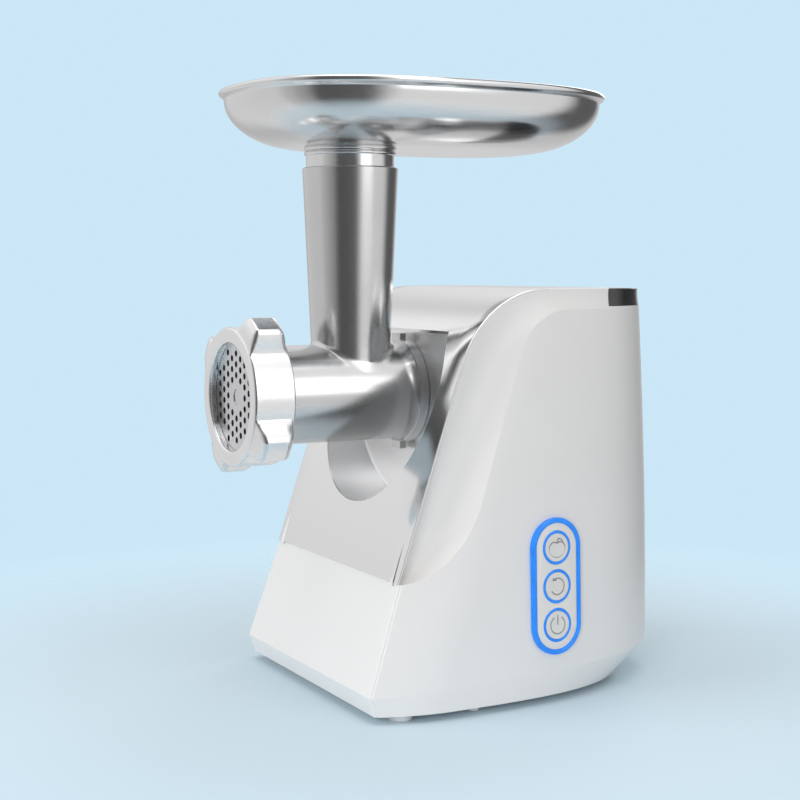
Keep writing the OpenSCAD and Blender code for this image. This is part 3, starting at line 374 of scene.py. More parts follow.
def housing_rows():
    """Points of the outer skin, row by row from the foot of the skirt to the level top. Each row runs
    from the middle of the front along one side to the middle of the back, and is then mirrored."""
    low = np.linspace(30 * MM, sheet_z, 12)
    scoop = sheet_z + scoop_low_h * (1 - np.cos(np.linspace(0, math.pi / 2, 26)[1:]))
    line = np.linspace(sheet_z + scoop_low_h, 164 * MM, 16)[1:]
    bend = bend_z + bend_r * np.sin(np.linspace(lean_a, math.pi / 2, 40))
    heights = np.concatenate([low, scoop, line, bend])[:, None]
    n_front, n_corner, n_scoop, n_side, n_rear = 10, 7, 26, 30, 64

    def row_y(y_front, y_scoop, y_wide, y_back):
        """Y of the stations: through the scoop, along the side, then closer together round the back."""
        a = np.linspace(0, 1, n_scoop + 1)[1:]
        b = np.linspace(0, 1, n_side + 1)[1:]
        c = np.linspace(0, 1, n_rear + 1)[1:]
        y_mid = np.maximum(y_wide, y_scoop + 4 * MM)
        start = np.arcsin(((y_mid - y_wide) / (y_back - y_wide)) ** 1.5)
        y_round = y_wide + (y_back - y_wide) * np.sin(start + (math.pi / 2 - start) * c) ** (2 / 3)
        return np.hstack([y_front + (y_scoop - y_front) * a, y_scoop + (y_mid - y_scoop) * b, y_round])

    def row_points(y, x, z, y_front, x_front):
        """Adds the front and its rounded corner, a quadratic curve, before the side, and mirrors it."""
        round_r = 1.3 * MM
        t = np.linspace(0, 1, n_corner)[None, :]
        side_y, side_x = y_front + round_r, x[:, :1] * 0 + x_front
        front_x = np.linspace(0, 1, n_front, endpoint=False)[None, :] * (x_front - round_r)
        corner_x = (1 - t) ** 2 * (x_front - round_r) + 2 * t * (1 - t) * x_front + t ** 2 * side_x
        corner_y = (1 - t) ** 2 * y_front + 2 * t * (1 - t) * y_front + t ** 2 * side_y
        y = np.maximum(y, side_y + (y - y_front) * 0.2)
        xs = np.hstack([front_x, corner_x, x])
        ys = np.hstack([y_front + 0 * front_x, corner_y, y])
        zs = np.hstack([z[:, :1] + 0 * front_x, z[:, :1] + 0 * corner_x, z])
        half = np.stack([xs, ys, zs], -1)
        other = half[:, -2:0:-1] * np.array([-1, 1, 1])
        return np.concatenate([half, other], 1)

    y = row_y(front_at(heights), np.maximum(scoop_edge_at(heights), front_at(heights) + 3 * MM),
              slope_y(heights) + bulge_l, rear_at(heights))
    z = heights + 0 * y
    level = row_points(y, skin_at(y, z), z, front_at(heights), skin_at(front_at(heights), heights))
    # The crease, and the rows that join it to the first level row and to the foot
    one = np.array([[crease_front]])
    y = row_y(front_at(one), front_at(one) + 3 * MM, slope_y(one) + bulge_l, rear_at(one))
    crease = row_points(y, side_at(y, one), crease_at(y), front_at(one), side_at(front_at(one), one))
    y_foot, y_back, half_w = front_y + 3.5 * MM + 0 * one, rear_y - 24 * MM, side_half - 1 * MM
    y = row_y(y_foot, y_foot + 3 * MM, 15 * MM, y_back)
    x = oval_half(y, half_w, foot_half - 1 * MM, 15 * MM, y_foot, y_back)
    foot = row_points(y, x, 4 * MM + 0 * y, y_foot, foot_half - 1 * MM + 0 * y_foot)
    share = np.array([0, 0.3, 0.6, 0.85, 0.95])[:, None, None]
    skirt = foot + (crease - foot) * share
    rise = np.array([0, 0.06, 0.15, 0.4, 0.7])[:, None, None]
    joined = crease + (level[:1] - crease) * rise
    return np.concatenate([skirt, joined, level])


def housing_shell(name):
    """The outer skin closed at the top and given its wall inwards."""
    rows = housing_rows()
    shell = surface(name, rows, wrap_u=True, caps=(len(rows) - 1,))
    thick = shell.modifiers.new("wall", "SOLIDIFY")
    thick.thickness, thick.offset, thick.use_even_offset = wall, -1.0, False
    return settle(shell)


def paint(name, colour, metallic=0.0, roughness=0.4):
    """A new material with a Principled shader, and the handles to add its detail with."""
    material = bpy.data.materials.new(name)
    material.use_nodes = True
    shader = material.node_tree.nodes["Principled BSDF"]
    shader.inputs["Base Color"].default_value = (*colour, 1)
    shader.inputs["Metallic"].default_value = metallic
    shader.inputs["Roughness"].default_value = roughness
    return material, material.node_tree, shader


def grain(tree, shader, scale, rough=None, depth=0.0, tint=None, detail=4.0):
    """Noise on Object coordinates stretched by scale: it moves the roughness between two values,
    raises a bump of the given depth, and shades the base colour between two tints."""
    place_in = tree.nodes.new("ShaderNodeTexCoord")
    stretch = tree.nodes.new("ShaderNodeMapping")
    stretch.inputs["Scale"].default_value = scale
    noise = tree.nodes.new("ShaderNodeTexNoise")
    noise.inputs["Scale"].default_value = 1.0
    noise.inputs["Detail"].default_value = detail
    tree.links.new(place_in.outputs["Object"], stretch.inputs["Vector"])
    tree.links.new(stretch.outputs[0], noise.inputs["Vector"])
    if rough:
        spread = tree.nodes.new("ShaderNodeMapRange")
        spread.inputs["From Min"].default_value = 0.3
        spread.inputs["From Max"].default_value = 0.7
        spread.inputs["To Min"].default_value, spread.inputs["To Max"].default_value = rough
        tree.links.new(noise.outputs["Fac"], spread.inputs["Value"])
        tree.links.new(spread.outputs[0], shader.inputs["Roughness"])
    if depth:
        bump = tree.nodes.new("ShaderNodeBump")
        bump.inputs["Strength"].default_value = 1.0
        bump.inputs["Distance"].default_value = depth
        tree.links.new(noise.outputs["Fac"], bump.inputs["Height"])
        before = shader.inputs["Normal"].links
        if before:
            tree.links.new(before[0].from_socket, bump.inputs["Normal"])
        tree.links.new(bump.outputs[0], shader.inputs["Normal"])
    if tint:
        shades = tree.nodes.new("ShaderNodeValToRGB")
        shades.color_ramp.elements[0].position, shades.color_ramp.elements[1].position = 0.3, 0.7
        shades.color_ramp.elements[0].color = (*tint[0], 1)
        shades.color_ramp.elements[1].color = (*tint[1], 1)
        tree.links.new(noise.outputs["Fac"], shades.inputs["Fac"])
        tree.links.new(shades.outputs[0], shader.inputs["Base Color"])
    return noise


def white_plastic():
    """Satin gloss moulded plastic: a very fine spark texture under a thin clear gloss."""
    material, tree, shader = paint("white_plastic", (0.80, 0.79, 0.78), roughness=0.32)
    shader.inputs["Coat Weight"].default_value = 0.25
    shader.inputs["Coat Roughness"].default_value = 0.12
    grain(tree, shader, (9, 9, 9), tint=((0.79, 0.775, 0.765), (0.82, 0.805, 0.795)))
    grain(tree, shader, (2600, 2600, 2600), rough=(0.28, 0.36), depth=0.004 * MM)
    return material


recess_r, seat_y, seat_t = 58.6 * MM, 33.4 * MM, 3 * MM
cap_low, sheet_end = body_h - 9 * MM, 115 * MM
button_y, button_z, button_pitch = 77.2 * MM, 61.6 * MM, 20.25 * MM
button_x = float(side_at(np.array(button_y), np.array(button_z)))
panel_half, panel_band, panel_proud = 15.5 * MM, 2.6 * MM, 2.2 * MM
outward = -np.array(joint["power_press"]["axis"])
outward = outward / np.linalg.norm(outward)
panel_up = np.array([0.0, 0.0, 1.0]) - outward * outward[2]
panel_up = panel_up / np.linalg.norm(panel_up)
panel_side = np.cross(panel_up, outward)
panel_mid = np.array([button_x, button_y, button_z])


def on_panel(side, up, out_by):
    """Points on the side wall from local coordinates: sideways, up the column, and outwards."""
    return (panel_mid + side[..., None] * panel_side + up[..., None] * panel_up
            + out_by[..., None] * outward)


def stadium(radius, steps=96):
    """Outline of the panel: two half circles of the radius, a button pitch above and below."""
    angle = np.linspace(0, 2 * math.pi, steps, endpoint=False)
    return radius * np.cos(angle), radius * np.sin(angle) + np.where(np.sin(angle) >= 0, 1, -1) * button_pitch


def stadium_solid(name, rings):
    """A closed solid from rings of (radius, outwards), each an outline of the panel."""
    rows = []
    for radius, out_by in rings:
        side, up = stadium(radius)
        rows.append(on_panel(side, up, 0 * side + out_by))
    return surface(name, np.array(rows), wrap_u=True, caps=(0, len(rings) - 1))


housing = housing_shell("housing")
carve(housing, block((-0.2, sheet_end, cap_low), (0.2, 0.3, 0.3)))
carve(housing, rod(-0.1, seat_y + seat_t + 0.3 * MM, recess_r + 2.1 * MM))
slot_half = panel_half - panel_band + 0.3 * MM
carve(housing, stadium_solid("slot", [(slot_half, -6 * MM), (slot_half, 4 * MM)]))
vent_count, vent_pitch, vent_w, vent_low, vent_high = 9, 7 * MM, 3 * MM, 70 * MM, 114 * MM
for k in range(vent_count):
    x = (k - (vent_count - 1) / 2) * vent_pitch
    vent = block((x - vent_w / 2, rear_y - 22 * MM, vent_low), (x + vent_w / 2, rear_y + 18 * MM, vent_high))
    carve(housing, vent)
gland_z, gland_hole_r = 38 * MM, 5.1 * MM
carve(housing, rod(rear_y - 12 * MM, rear_y + 4 * MM, gland_hole_r, centre=(0, 0, gland_z), steps=48))
smooth(housing, 13)
white = white_plastic()
housing.data.materials.clear()
housing.data.materials.append(white)
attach(housing, "base")
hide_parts("main_housing")

# -- Rear top cap --------------------------------------------------------------------------
# A gloss black cap closes the top behind the steel. It continues the shell's outline and clips
# into it, with a fine seam all round.
cap = housing_shell("rear_top_cap_shell")
carve(cap, block((-0.2, sheet_end + 0.15 * MM, cap_low + 0.15 * MM), (0.2, 0.3, 0.3)), "INTERSECT")
smooth(cap, 28)


def gloss_black():
    """Polished black plastic with faint moulding waves."""
    material, tree, shader = paint("gloss_black", (0.012, 0.012, 0.013), roughness=0.16)
    shader.inputs["Coat Weight"].default_value = 0.5
    grain(tree, shader, (60, 60, 60), rough=(0.12, 0.2), depth=0.01 * MM)
    return material


black = gloss_black()
cap.data.materials.clear()
cap.data.materials.append(black)
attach(cap, "base")
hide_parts("rear_top_cap")

# -- Steel front sheet ---------------------------------------------------------------------
# One sheet of 0.8 mm polished stainless steel, bent over the front slope and along the top. It
# ends at the cap, has the round recess cut through it, and its edges are broken with a file.
steel_t = 0.8 * MM


def sheet_rows():
    """Rows along the sheet: the slope, a bend by even angles, and the level. Each row is a closed
    ring round the sheet's cross-section, whose outer corners are rounded."""
    angle = np.linspace(lean_a, math.pi / 2, 72)
    slope_z = np.linspace(sheet_z, bend_z + bend_r * math.sin(lean_a), 24)[:-1]
    level_y = np.linspace(bend_y, sheet_end, 16)[1:]
    y = np.concatenate([slope_y(slope_z), bend_y - bend_r * np.cos(angle), level_y])
    z = np.concatenate([slope_z, bend_z + bend_r * np.sin(angle), np.full(15, body_h)])
    tilt = np.concatenate([np.full(23, lean_a), angle, np.full(15, math.pi / 2)])
    edge_r = 0.3 * MM
    turn_a = np.linspace(0, math.pi / 2, 5)
    half = face_half
    x_corner = half - edge_r + edge_r * np.cos(turn_a)
    h_corner = steel_t - edge_r + edge_r * np.sin(turn_a)
    x_top, x_under = np.linspace(half - edge_r, edge_r - half, 14)[1:-1], np.linspace(-half, half, 12)
    x_ring = np.concatenate([x_corner, x_top, -x_corner[::-1], x_under])
    h_ring = np.concatenate([h_corner, np.full(12, steel_t), h_corner[::-1], np.full(12, 0.0)])
    out_y, out_z = -np.cos(tilt), np.sin(tilt)
    rows_x = x_ring[None, :] + 0 * y[:, None]
    rows_y = y[:, None] + out_y[:, None] * h_ring[None, :]
    rows_z = z[:, None] + out_z[:, None] * h_ring[None, :]
    return np.stack([rows_x, rows_y, rows_z], -1)


rows = sheet_rows()
sheet = surface("steel_sheet", rows, wrap_u=True, caps=(0, len(rows) - 1))
carve(sheet, rod(-0.1, seat_y, recess_r, steps=384))
smooth(sheet, 30)


def polished_sheet():
    """Mirror polished stainless steel: fine lines up the slope and a faint waviness."""
    material, tree, shader = paint("polished_sheet", (0.80, 0.80, 0.80), metallic=1.0, roughness=0.13)
    grain(tree, shader, (1800, 30, 30), rough=(0.10, 0.17), depth=0.0012 * MM)
    grain(tree, shader, (14, 14, 14), depth=0.10 * MM, detail=1.0)
    return material


mirror = polished_sheet()
sheet.data.materials.clear()
sheet.data.materials.append(mirror)
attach(sheet, "base")
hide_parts("steel_panel")

# -- Recess for the head -------------------------------------------------------------------
# A drawn cup of satin steel let into the front. Its end wall is the flat face that the head
# seats on, with a hole for the head's neck.
neck_r = 24.4 * MM
seat_back = seat_y + seat_t


def near(base, *offsets):
    """Section points at offsets in millimetres from a base point in metres."""
    return [(base[0] + across * MM, base[1] + along * MM) for across, along in offsets]


cup_section = near((recess_r, seat_y), (-2.2, 0), (-0.9, -0.4), (-0.2, -1.2), (0, -2.4))
cup_section += near((recess_r, 0), (0, -30), (2, -30)) + near((recess_r, seat_back), (2, 0))
cup_section += near((neck_r, seat_back), (0.3, 0)) + near((neck_r, seat_y), (0.3, 0.4), (0.7, 0))
cup = turned("recess_cup", cup_section, steps=320)
cutter_rows = sheet_rows()
front_line_y = np.concatenate([[slope_y(sheet_z - 20 * MM)], cutter_rows[:, -1, 1]])
front_line_z = np.concatenate([[sheet_z - 20 * MM], cutter_rows[:, -1, 2]])
ring_y = np.concatenate([front_line_y, [sheet_end]])
ring_z = np.concatenate([front_line_z, [sheet_z - 20 * MM]])
inside = np.stack([np.stack([np.full(len(ring_y), s * side_half), ring_y, ring_z], -1) for s in (-1, 1)])
carve(cup, surface("inside", inside, wrap_u=True, caps=(0, 1)), "INTERSECT")
smooth(cup, 30)


def satin_steel():
    """Satin drawn steel with soft turned rings."""
    material, tree, shader = paint("satin_steel", (0.93, 0.93, 0.93), metallic=1.0, roughness=0.36)
    grain(tree, shader, (25, 900, 25), rough=(0.32, 0.42), depth=0.0003 * MM)
    return material


cup.data.materials.clear()
cup.data.materials.append(satin_steel())
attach(cup, "base")
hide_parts("head_seat")

# -- Grinding head -------------------------------------------------------------------------
# One casting in polished aluminium: the barrel with its collar and flange, and the feed tube
# rising from it with a small fillet. It is turned and polished outside and bored through.
collar_r, barrel_r, flange_r = 33 * MM, 26 * MM, 28.2 * MM
collar_front, nut_back = -65.5 * MM, -48 * MM
flange_back = seat_y - 0.1 * MM
flange_front = flange_back - 6 * MM
neck_end = seat_y + 13 * MM
tube_top_r, tube_low_r, tube_h = 25.5 * MM, 21.3 * MM, 279 * MM
cast_wall = 2.8 * MM
bore_r, bore_end = barrel_r - cast_wall, 28.7 * MM
plate_seat_r, plate_seat_end = 31.08 * MM, -61 * MM
entry_r, entry_end = 27.5 * MM, -51 * MM
bush_seat_r, bush_seat_end, drive_hole_r = 16.48 * MM, 42.4 * MM, 12 * MM
feed_low_r, feed_mid_r, spigot_seat_r = 17.0 * MM, 17.4 * MM, 23.58 * MM
lug_out, lug_half, lug_depth, lug_t = 29.4 * MM, 5 * MM, 3.5 * MM, 2 * MM
on_axis = 0.01 * MM      # the radius that stands for the axis itself
barrel_outside = [(on_axis, collar_front)] + near((collar_r, collar_front), (-1, 0), (0, 1))
barrel_outside += near((collar_r, nut_back), (0, -0.3))
barrel_outside += near((barrel_r, nut_back), (1.2, -0.3), (0.35, 0.35), (0, 1.2))
barrel_outside += [(barrel_r, y) for y in np.linspace(nut_back + 3 * MM, flange_front - 7 * MM, 12)]
swell = np.linspace(0, 1, 10)
barrel_outside += [(barrel_r + 1.6 * MM * s * s, flange_front - 6 * MM + 6 * MM * s) for s in swell]
barrel_outside += near((flange_r, flange_front), (-0.25, 0.1), (0, 0.5))
barrel_outside += near((flange_r, flange_back), (0, -0.5), (-0.5, 0)) + [(neck_r, flange_back)]
barrel_outside += near((neck_r, neck_end), (0, -0.8), (-0.8, 0)) + [(on_axis, neck_end)]
head = turned("grinding_head", barrel_outside, steps=288, closed=False)


def stepped(start, *steps):
    """Section of a stepped bore from start: each step is its radius and where it ends."""
    points = [(on_axis, start)]
    for radius, end in steps:
        points += [(radius, start), (radius, end)]
        start = end
    return points + [(on_axis, start)]


def feed_tube_rows(steps=288):
    """Feed tube: a cone whose foot follows the barrel. At each angle the foot's height is that of the
    barrel under it, and the radius flares by a quarter circle as it comes within fillet of it."""
    fillet = 3.2 * MM
    slope = (tube_top_r - tube_low_r) / (tube_h - (axis_z + barrel_r))
    angle = np.linspace(0, 2 * math.pi, steps, endpoint=False)[None, :]
    foot_part = np.linspace(0, 1, 14)[:, None]
    gap_up = fillet * (1 - np.cos(foot_part * math.pi / 2))
    flare = fillet * (1 - np.sin(foot_part * math.pi / 2))
    r_foot = tube_low_r + flare
    over = np.clip(r_foot * np.cos(angle), -barrel_r * 0.995, barrel_r * 0.995)
    z_foot = axis_z + np.sqrt(barrel_r ** 2 - over ** 2) + gap_up - 0.25 * MM
    up = np.linspace(0, 1, 40)[1:, None]
    z_start = z_foot[-1:, :]
    z_tube = z_start + (tube_h - 0.6 * MM - z_start) * up
    r_tube = tube_low_r + slope * np.maximum(z_tube - (axis_z + barrel_r), 0)
    r_foot = r_foot + slope * np.maximum(z_foot - (axis_z + barrel_r), 0)
    z_all = np.vstack([np.full((1, steps), axis_z), z_foot, z_tube, np.full((1, steps), tube_h)])
    r_all = np.vstack([r_foot[:1] * 0.98, r_foot, r_tube, np.full((1, steps), tube_top_r - 0.6 * MM)])
    return np.stack([r_all * np.cos(angle), r_all * np.sin(angle), z_all], -1)


rows = feed_tube_rows()
carve(head, surface("feed_tube", rows, wrap_u=True, caps=(0, len(rows) - 1)), "UNION")
for s in (-1, 1):
    lug_z = axis_z + s * lug_out
    lug = block((-lug_half, flange_front, lug_z - lug_t), (lug_half, flange_front + lug_depth, lug_z + lug_t))
    carve(head, lug, "UNION")
bore = stepped(collar_front - 1 * MM, (plate_seat_r, plate_seat_end), (entry_r, entry_end),
               (bore_r, bore_end), (bush_seat_r, bush_seat_end), (drive_hole_r, neck_end + 1 * MM))
carve(head, turned("bore", bore, steps=192, closed=False))
tube_bore = [(on_axis, axis_z), (feed_low_r, axis_z), (feed_mid_r, axis_z + 20 * MM)]
tube_bore += near((spigot_seat_r, tube_h), (-1.48, -12), (0, -12), (0, -0.5), (0.52, 0.1), (0.52, 2))
tube_bore += [(on_axis, tube_h + 2 * MM)]
carve(head, turned("tube_bore", tube_bore, "z", centre=(0, 0, 0), closed=False))
smooth(head, 30)


def polished_casting(name, scale, base=0.62, rough=(0.17, 0.27)):
    """Polished cast aluminium: fine turned rings across the given direction, and faint stains."""
    material, tree, shader = paint(name, (base, base, base), metallic=1.0, roughness=0.22)
    grain(tree, shader, (35, 35, 35), tint=((base * 0.96,) * 3, (base * 1.03,) * 3))
    grain(tree, shader, scale, rough=rough, depth=0.0015 * MM)
    return material


head.data.materials.clear()
head.data.materials.append(polished_casting("head_casting", (40, 1400, 700)))
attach(head, "head")
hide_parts("grinder_head")

# -- Ring nut ------------------------------------------------------------------------------
# A heavy cast nut with four grip lobes, set back from its front face. It screws on the collar
# and holds the plate, which shows through its opening.
nut_front = -70.5 * MM
nut_valley, nut_lobe, mouth_r, thread_r = 36.3 * MM, 46.5 * MM, 28 * MM, 33.15 * MM
lobe_at, tip_half, flank_wide = 57, 6.0, 13      # degrees round the nut


def lobe_part(angle):
    """1 on a lobe and 0 between lobes: a cosine flank each side of a flat tip, four times round."""
    off = np.abs((np.degrees(angle) - lobe_at + 45) % 90 - 45)
    flank = 0.5 + 0.5 * np.cos(np.radians((off - tip_half) * 180 / flank_wide))
    return np.where(off < tip_half, 1.0, np.where(off > tip_half + flank_wide, 0.0, flank))


def nut_rows(steps=720):
    """Closed section of the nut at each angle. The outside is the valley radius plus the lobe's height
    times a window along the axis that rises behind the front face and falls before the back."""
    angle = np.linspace(0, 2 * math.pi, steps, endpoint=False)[None, :]
    front_r, back_r = 1.6 * MM, 1.2 * MM
    y_front = nut_front + front_r * (1 - np.cos(np.linspace(0, math.pi / 2, 7)))
    y_middle = np.linspace(nut_front + 2.2 * MM, nut_back - 1.4 * MM, 44)
    y_back = nut_back - back_r * (1 - np.sin(np.linspace(0, math.pi / 2, 6)))
    y = np.concatenate([y_front, y_middle, y_back])[:, None]
    in_front = np.clip((nut_front + front_r - y) / front_r, 0, 1)
    in_back = np.clip((y - nut_back + back_r) / back_r, 0, 1)
    body = nut_valley - front_r * (1 - np.sqrt(1 - in_front ** 2)) - back_r * (1 - np.sqrt(1 - in_back ** 2))
    rise = np.clip((y - (nut_front + 0.8 * MM)) / (4.4 * MM), 0, 1)
    fall = np.clip(((nut_back - 1.5 * MM) - y) / (5.5 * MM), 0, 1)
    window = np.sqrt(1 - (1 - rise) ** 2) * np.sqrt(1 - (1 - fall) ** 2)
    outside = body + (nut_lobe - nut_valley) * lobe_part(angle) * window
    inner = near((thread_r, nut_back), (0.35, 0), (0, -0.5), (0, -12), (0, -18))
    inner += near((mouth_r, nut_front), (0.4, 4.5), (0, 4.1), (0, 1.5), (0.12, 0.8), (0.5, 0.3))
    inner = np.array(inner + near((mouth_r, nut_front), (1.2, 0), (3, 0), (5.5, 0)))
    r = np.vstack([outside, inner[:, :1] + 0 * angle])
    h = np.vstack([y + 0 * angle, inner[:, 1:] + 0 * angle])
    return np.stack([r * np.cos(angle), h, axis_z + r * np.sin(angle)], -1)


nut = smooth(surface("ring_nut_casting", nut_rows(), wrap_u=True, wrap_v=True), 40)
nut.data.materials.append(polished_casting("nut_casting", (900, 500, 900), base=0.82, rough=(0.18, 0.28)))
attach(nut, "ring_nut")
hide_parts("ring_nut")

# -- Food tray -----------------------------------------------------------------------------
# Pressed from one sheet of bright stainless steel: an oval bowl with a rolled rim, drawn down to
# a short neck with two beads that plugs into the feed tube.
tray_l, tray_w, tray_y, rim_h = 104.8 * MM, 76.2 * MM, 38.5 * MM, 318 * MM
tray_depth, tray_t, rim_r, neck_hole_r = 28 * MM, 1 * MM, 2 * MM, 20 * MM
bowl_run, wall_d, bowl_power = 42 * MM, 3.6 * MM, 2.6
collar_top = rim_h - tray_depth


def bowl_rows(steps=360):
    """Closed section of the bowl carried round the oval |x/a|^p + |y/b|^p = 1, drawn in by d. The wall is
    a quarter ellipse, the rim a roll, and the first and last rings lie on the neck's circle."""
    angle = np.linspace(0, 2 * math.pi, steps, endpoint=False)[None, :]
    f = np.linspace(0, math.pi / 2, 28)
    roll = np.radians(np.linspace(-35, 250, 22))
    drawn_in = wall_d + (bowl_run - wall_d) * (1 - np.sin(f))
    height_at = collar_top + (tray_depth - 3 * MM) * (1 - np.cos(f))
    inner = np.stack([drawn_in, height_at], 1)
    rim = np.stack([rim_r + rim_r * np.cos(roll), rim_h + 0.93 * rim_r * np.sin(roll)], 1)
    outer = np.stack([drawn_in - tray_t * np.sin(f), height_at - tray_t * np.cos(f)], 1)[::-1]
    section = np.concatenate([inner, rim, outer])
    c, s = np.cos(angle), np.sin(angle)
    d, z = section[:, :1], section[:, 1:]
    x = (tray_w - d) * np.sign(c) * np.abs(c) ** (2 / bowl_power)
    y = tray_y + (tray_l - d) * np.sign(s) * np.abs(s) ** (2 / bowl_power)
    oval = np.stack([x, y, z + 0 * angle], -1)
    ring = np.stack([(neck_hole_r + 1.6 * MM) * c, (neck_hole_r + 1.6 * MM) * s, 0 * angle], -1)
    # The floor: straight from the neck's circle to the foot of the wall
    part = np.linspace(0, 1, 12)[:-1, None, None]
    floor_in = ring + (oval[:1] - ring) * part
    floor_in[..., 2] = collar_top
    floor_out = (ring + (oval[-1:] - ring) * part)[::-1]
    floor_out[..., 2] = collar_top - tray_t
    return np.concatenate([floor_in, oval, floor_out])


tray = surface("steel_tray", bowl_rows(), wrap_u=True, wrap_v=True)
spigot_r, spigot_low = 23.5 * MM, tube_h - 11.5 * MM


def bead(z, radius=1.15 * MM, steps=9):
    """A half round bead on the neck at height z."""
    angle = np.linspace(-math.pi / 2, math.pi / 2, steps)
    return [(spigot_r + radius * math.cos(a), z + radius * math.sin(a)) for a in angle]


neck_section = near((neck_hole_r, spigot_low), (0.4, 0)) + near((spigot_r, spigot_low), (-0.4, 0), (0, 0.4))
neck_section += bead(tube_h + 7.3 * MM) + bead(tube_h + 9.8 * MM)
neck_section += [(spigot_r, collar_top - tray_t / 2)]
neck_section += [(neck_hole_r + 2.2 * MM, collar_top - tray_t / 2)]
neck_section += near((neck_hole_r, collar_top), (0.9, -0.1), (0.2, -0.9), (0, -2))
neck_section += near((neck_hole_r, spigot_low), (0, 0.4))
carve(tray, turned("tray_neck", neck_section, "z", steps=240, centre=(0, 0, 0)), "UNION")
smooth(tray, 32)


def bright_steel():
    """Bright pressed stainless steel: faint polishing lines along the tray and a soft drawn waviness."""
    material, tree, shader = paint("bright_steel", (0.72, 0.72, 0.72), metallic=1.0, roughness=0.16)
    grain(tree, shader, (500, 40, 500), rough=(0.13, 0.21), depth=0.001 * MM)
    grain(tree, shader, (22, 22, 22), depth=0.06 * MM, detail=1.0)
    return material


tray.data.materials.clear()
tray.data.materials.append(bright_steel())
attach(tray, "tray")
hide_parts("tray")

# -- Control panel -------------------------------------------------------------------------
# A satin plate set in the side, with a lit blue band round it, a lit ring round each button, and
# three round buttons with printed signs: a fruit, a turning arrow and a power sign.
button_r, halo_w, ring_gap = 7.4 * MM, 1.5 * MM, 0.08 * MM


def band_rows():
    """The band: a half round section carried round the panel's outline."""
    middle, half = panel_half - panel_band / 2, panel_band / 2
    angle = np.linspace(0, math.pi, 13)
    section = [(middle + half * math.cos(a), panel_proud - 0.7 * MM + 0.7 * MM * math.sin(a)) for a in angle]
    section = [(middle + half, -0.6 * MM)] + section + [(middle - half, -0.6 * MM)]
    rows = []
    for radius, out_by in section:
        side, up = stadium(radius, 160)
        rows.append(on_panel(side, up, 0 * side + out_by))
    return np.array(rows)


def lit_blue():
    """Clear blue plastic lit from behind: gloss over a glow that fades a little from place to place."""
    material, tree, shader = paint("lit_blue", (0.01, 0.20, 0.72), roughness=0.25)
    shader.inputs["Emission Color"].default_value = (0.008, 0.25, 0.95, 1)
    shader.inputs["Emission Strength"].default_value = 0.22
    grain(tree, shader, (160, 160, 160), tint=((0.008, 0.19, 0.72), (0.014, 0.25, 0.88)))
    return material


blue = lit_blue()
band = smooth(surface("panel_band", band_rows(), wrap_u=True, wrap_v=True), 50)
band.data.materials.append(blue)
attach(band, "base")
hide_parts("panel_band_light")


def lathe_on_panel(name, section, up_by, steps=96):
    """A section of (radius, outwards) turned round an axis that stands on the side wall, up_by from
    the middle button. A section that starts and ends at the axis is closed by small faces."""
    section = np.asarray(section, float)
    angle = np.linspace(0, 2 * math.pi, steps, endpoint=False)[None, :]
    r, out_by = section[:, :1], section[:, 1:] + 0 * angle
    rows = on_panel(r * np.cos(angle), up_by + r * np.sin(angle), out_by)
    solid = section[0, 0] < 0.1 * MM
    return surface(name, rows, wrap_u=True, wrap_v=not solid, caps=(0, len(section) - 1) if solid else ())


plate_edge = panel_half - panel_band - ring_gap
plate_rings = [(plate_edge, -3.6 * MM)]
plate_rings += near((plate_edge, panel_proud), (0, -0.9), (-0.12, -0.62), (-0.4, -0.5))
plate = stadium_solid("control_plate_face", plate_rings)
hole_r = button_r + ring_gap
hole = stepped(-5 * MM, (hole_r, panel_proud - 1.6 * MM), (hole_r + halo_w, 4 * MM))
for k in (-1, 0, 1):
    carve(plate, lathe_on_panel("hole", hole, k * button_pitch))
smooth(plate, 32)


def satin_plate():
    """Warm white satin plastic, lightly etched."""
    material, tree, shader = paint("satin_plate", (0.78, 0.76, 0.74), roughness=0.45)
    grain(tree, shader, (1800, 1800, 1800), rough=(0.4, 0.5), depth=0.004 * MM)
    return material


plate.data.materials.clear()
plate.data.materials.append(satin_plate())
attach(plate, "base")
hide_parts("control_plate")

for k, tag in ((1, "top"), (0, "middle"), (-1, "bottom")):
    r0, r1, top = button_r + ring_gap, button_r + halo_w, panel_proud - 0.25 * MM
    halo_section = near((r0, top), (0, -1.3)) + near((r1, top), (0, -1.3), (0, -0.3), (-0.3, 0))
    halo_section += near((r0, top), (0.3, 0), (0, -0.3))
    halo = lathe_on_panel("halo_" + tag, halo_section, k * button_pitch)
    smooth(halo, 50).data.materials.append(blue)
    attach(halo, "base")
    if k == 0:
        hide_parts("button_halos")


def ribbon_on_panel(name, side, up, width, closed, base_out):
    """A printed line: a low half round section of the given width carried along points on a cap."""
    points = np.stack([side, up], -1)
    ahead = np.roll(points, -1, 0) - np.roll(points, 1, 0)
    if not closed:
        ahead[0], ahead[-1] = points[1] - points[0], points[-1] - points[-2]
    ahead = ahead / np.linalg.norm(ahead, axis=1)[:, None]
    across = np.stack([-ahead[:, 1], ahead[:, 0]], -1)
    offset = np.array([-0.5, -0.42, 0.42, 0.5, 0.3, -0.3]) * width
    lift = np.array([0.0, 0.05, 0.05, 0.0, -0.12, -0.12]) * MM
    flat = points[:, None, :] + across[:, None, :] * offset[None, :, None]
    rows = on_panel(flat[..., 0], flat[..., 1], base_out + lift[None, :] + 0 * flat[..., 0])
    caps = () if closed else (0, len(points) - 1)
    return surface(name, rows, wrap_u=True, wrap_v=closed, caps=caps)


def sign_grey():
    """Grey printing ink, slightly uneven."""
    material, tree, shader = paint("sign_grey", (0.30, 0.29, 0.28), roughness=0.5)
    grain(tree, shader, (900, 900, 900), tint=((0.27, 0.26, 0.25), (0.34, 0.33, 0.32)))
    return material


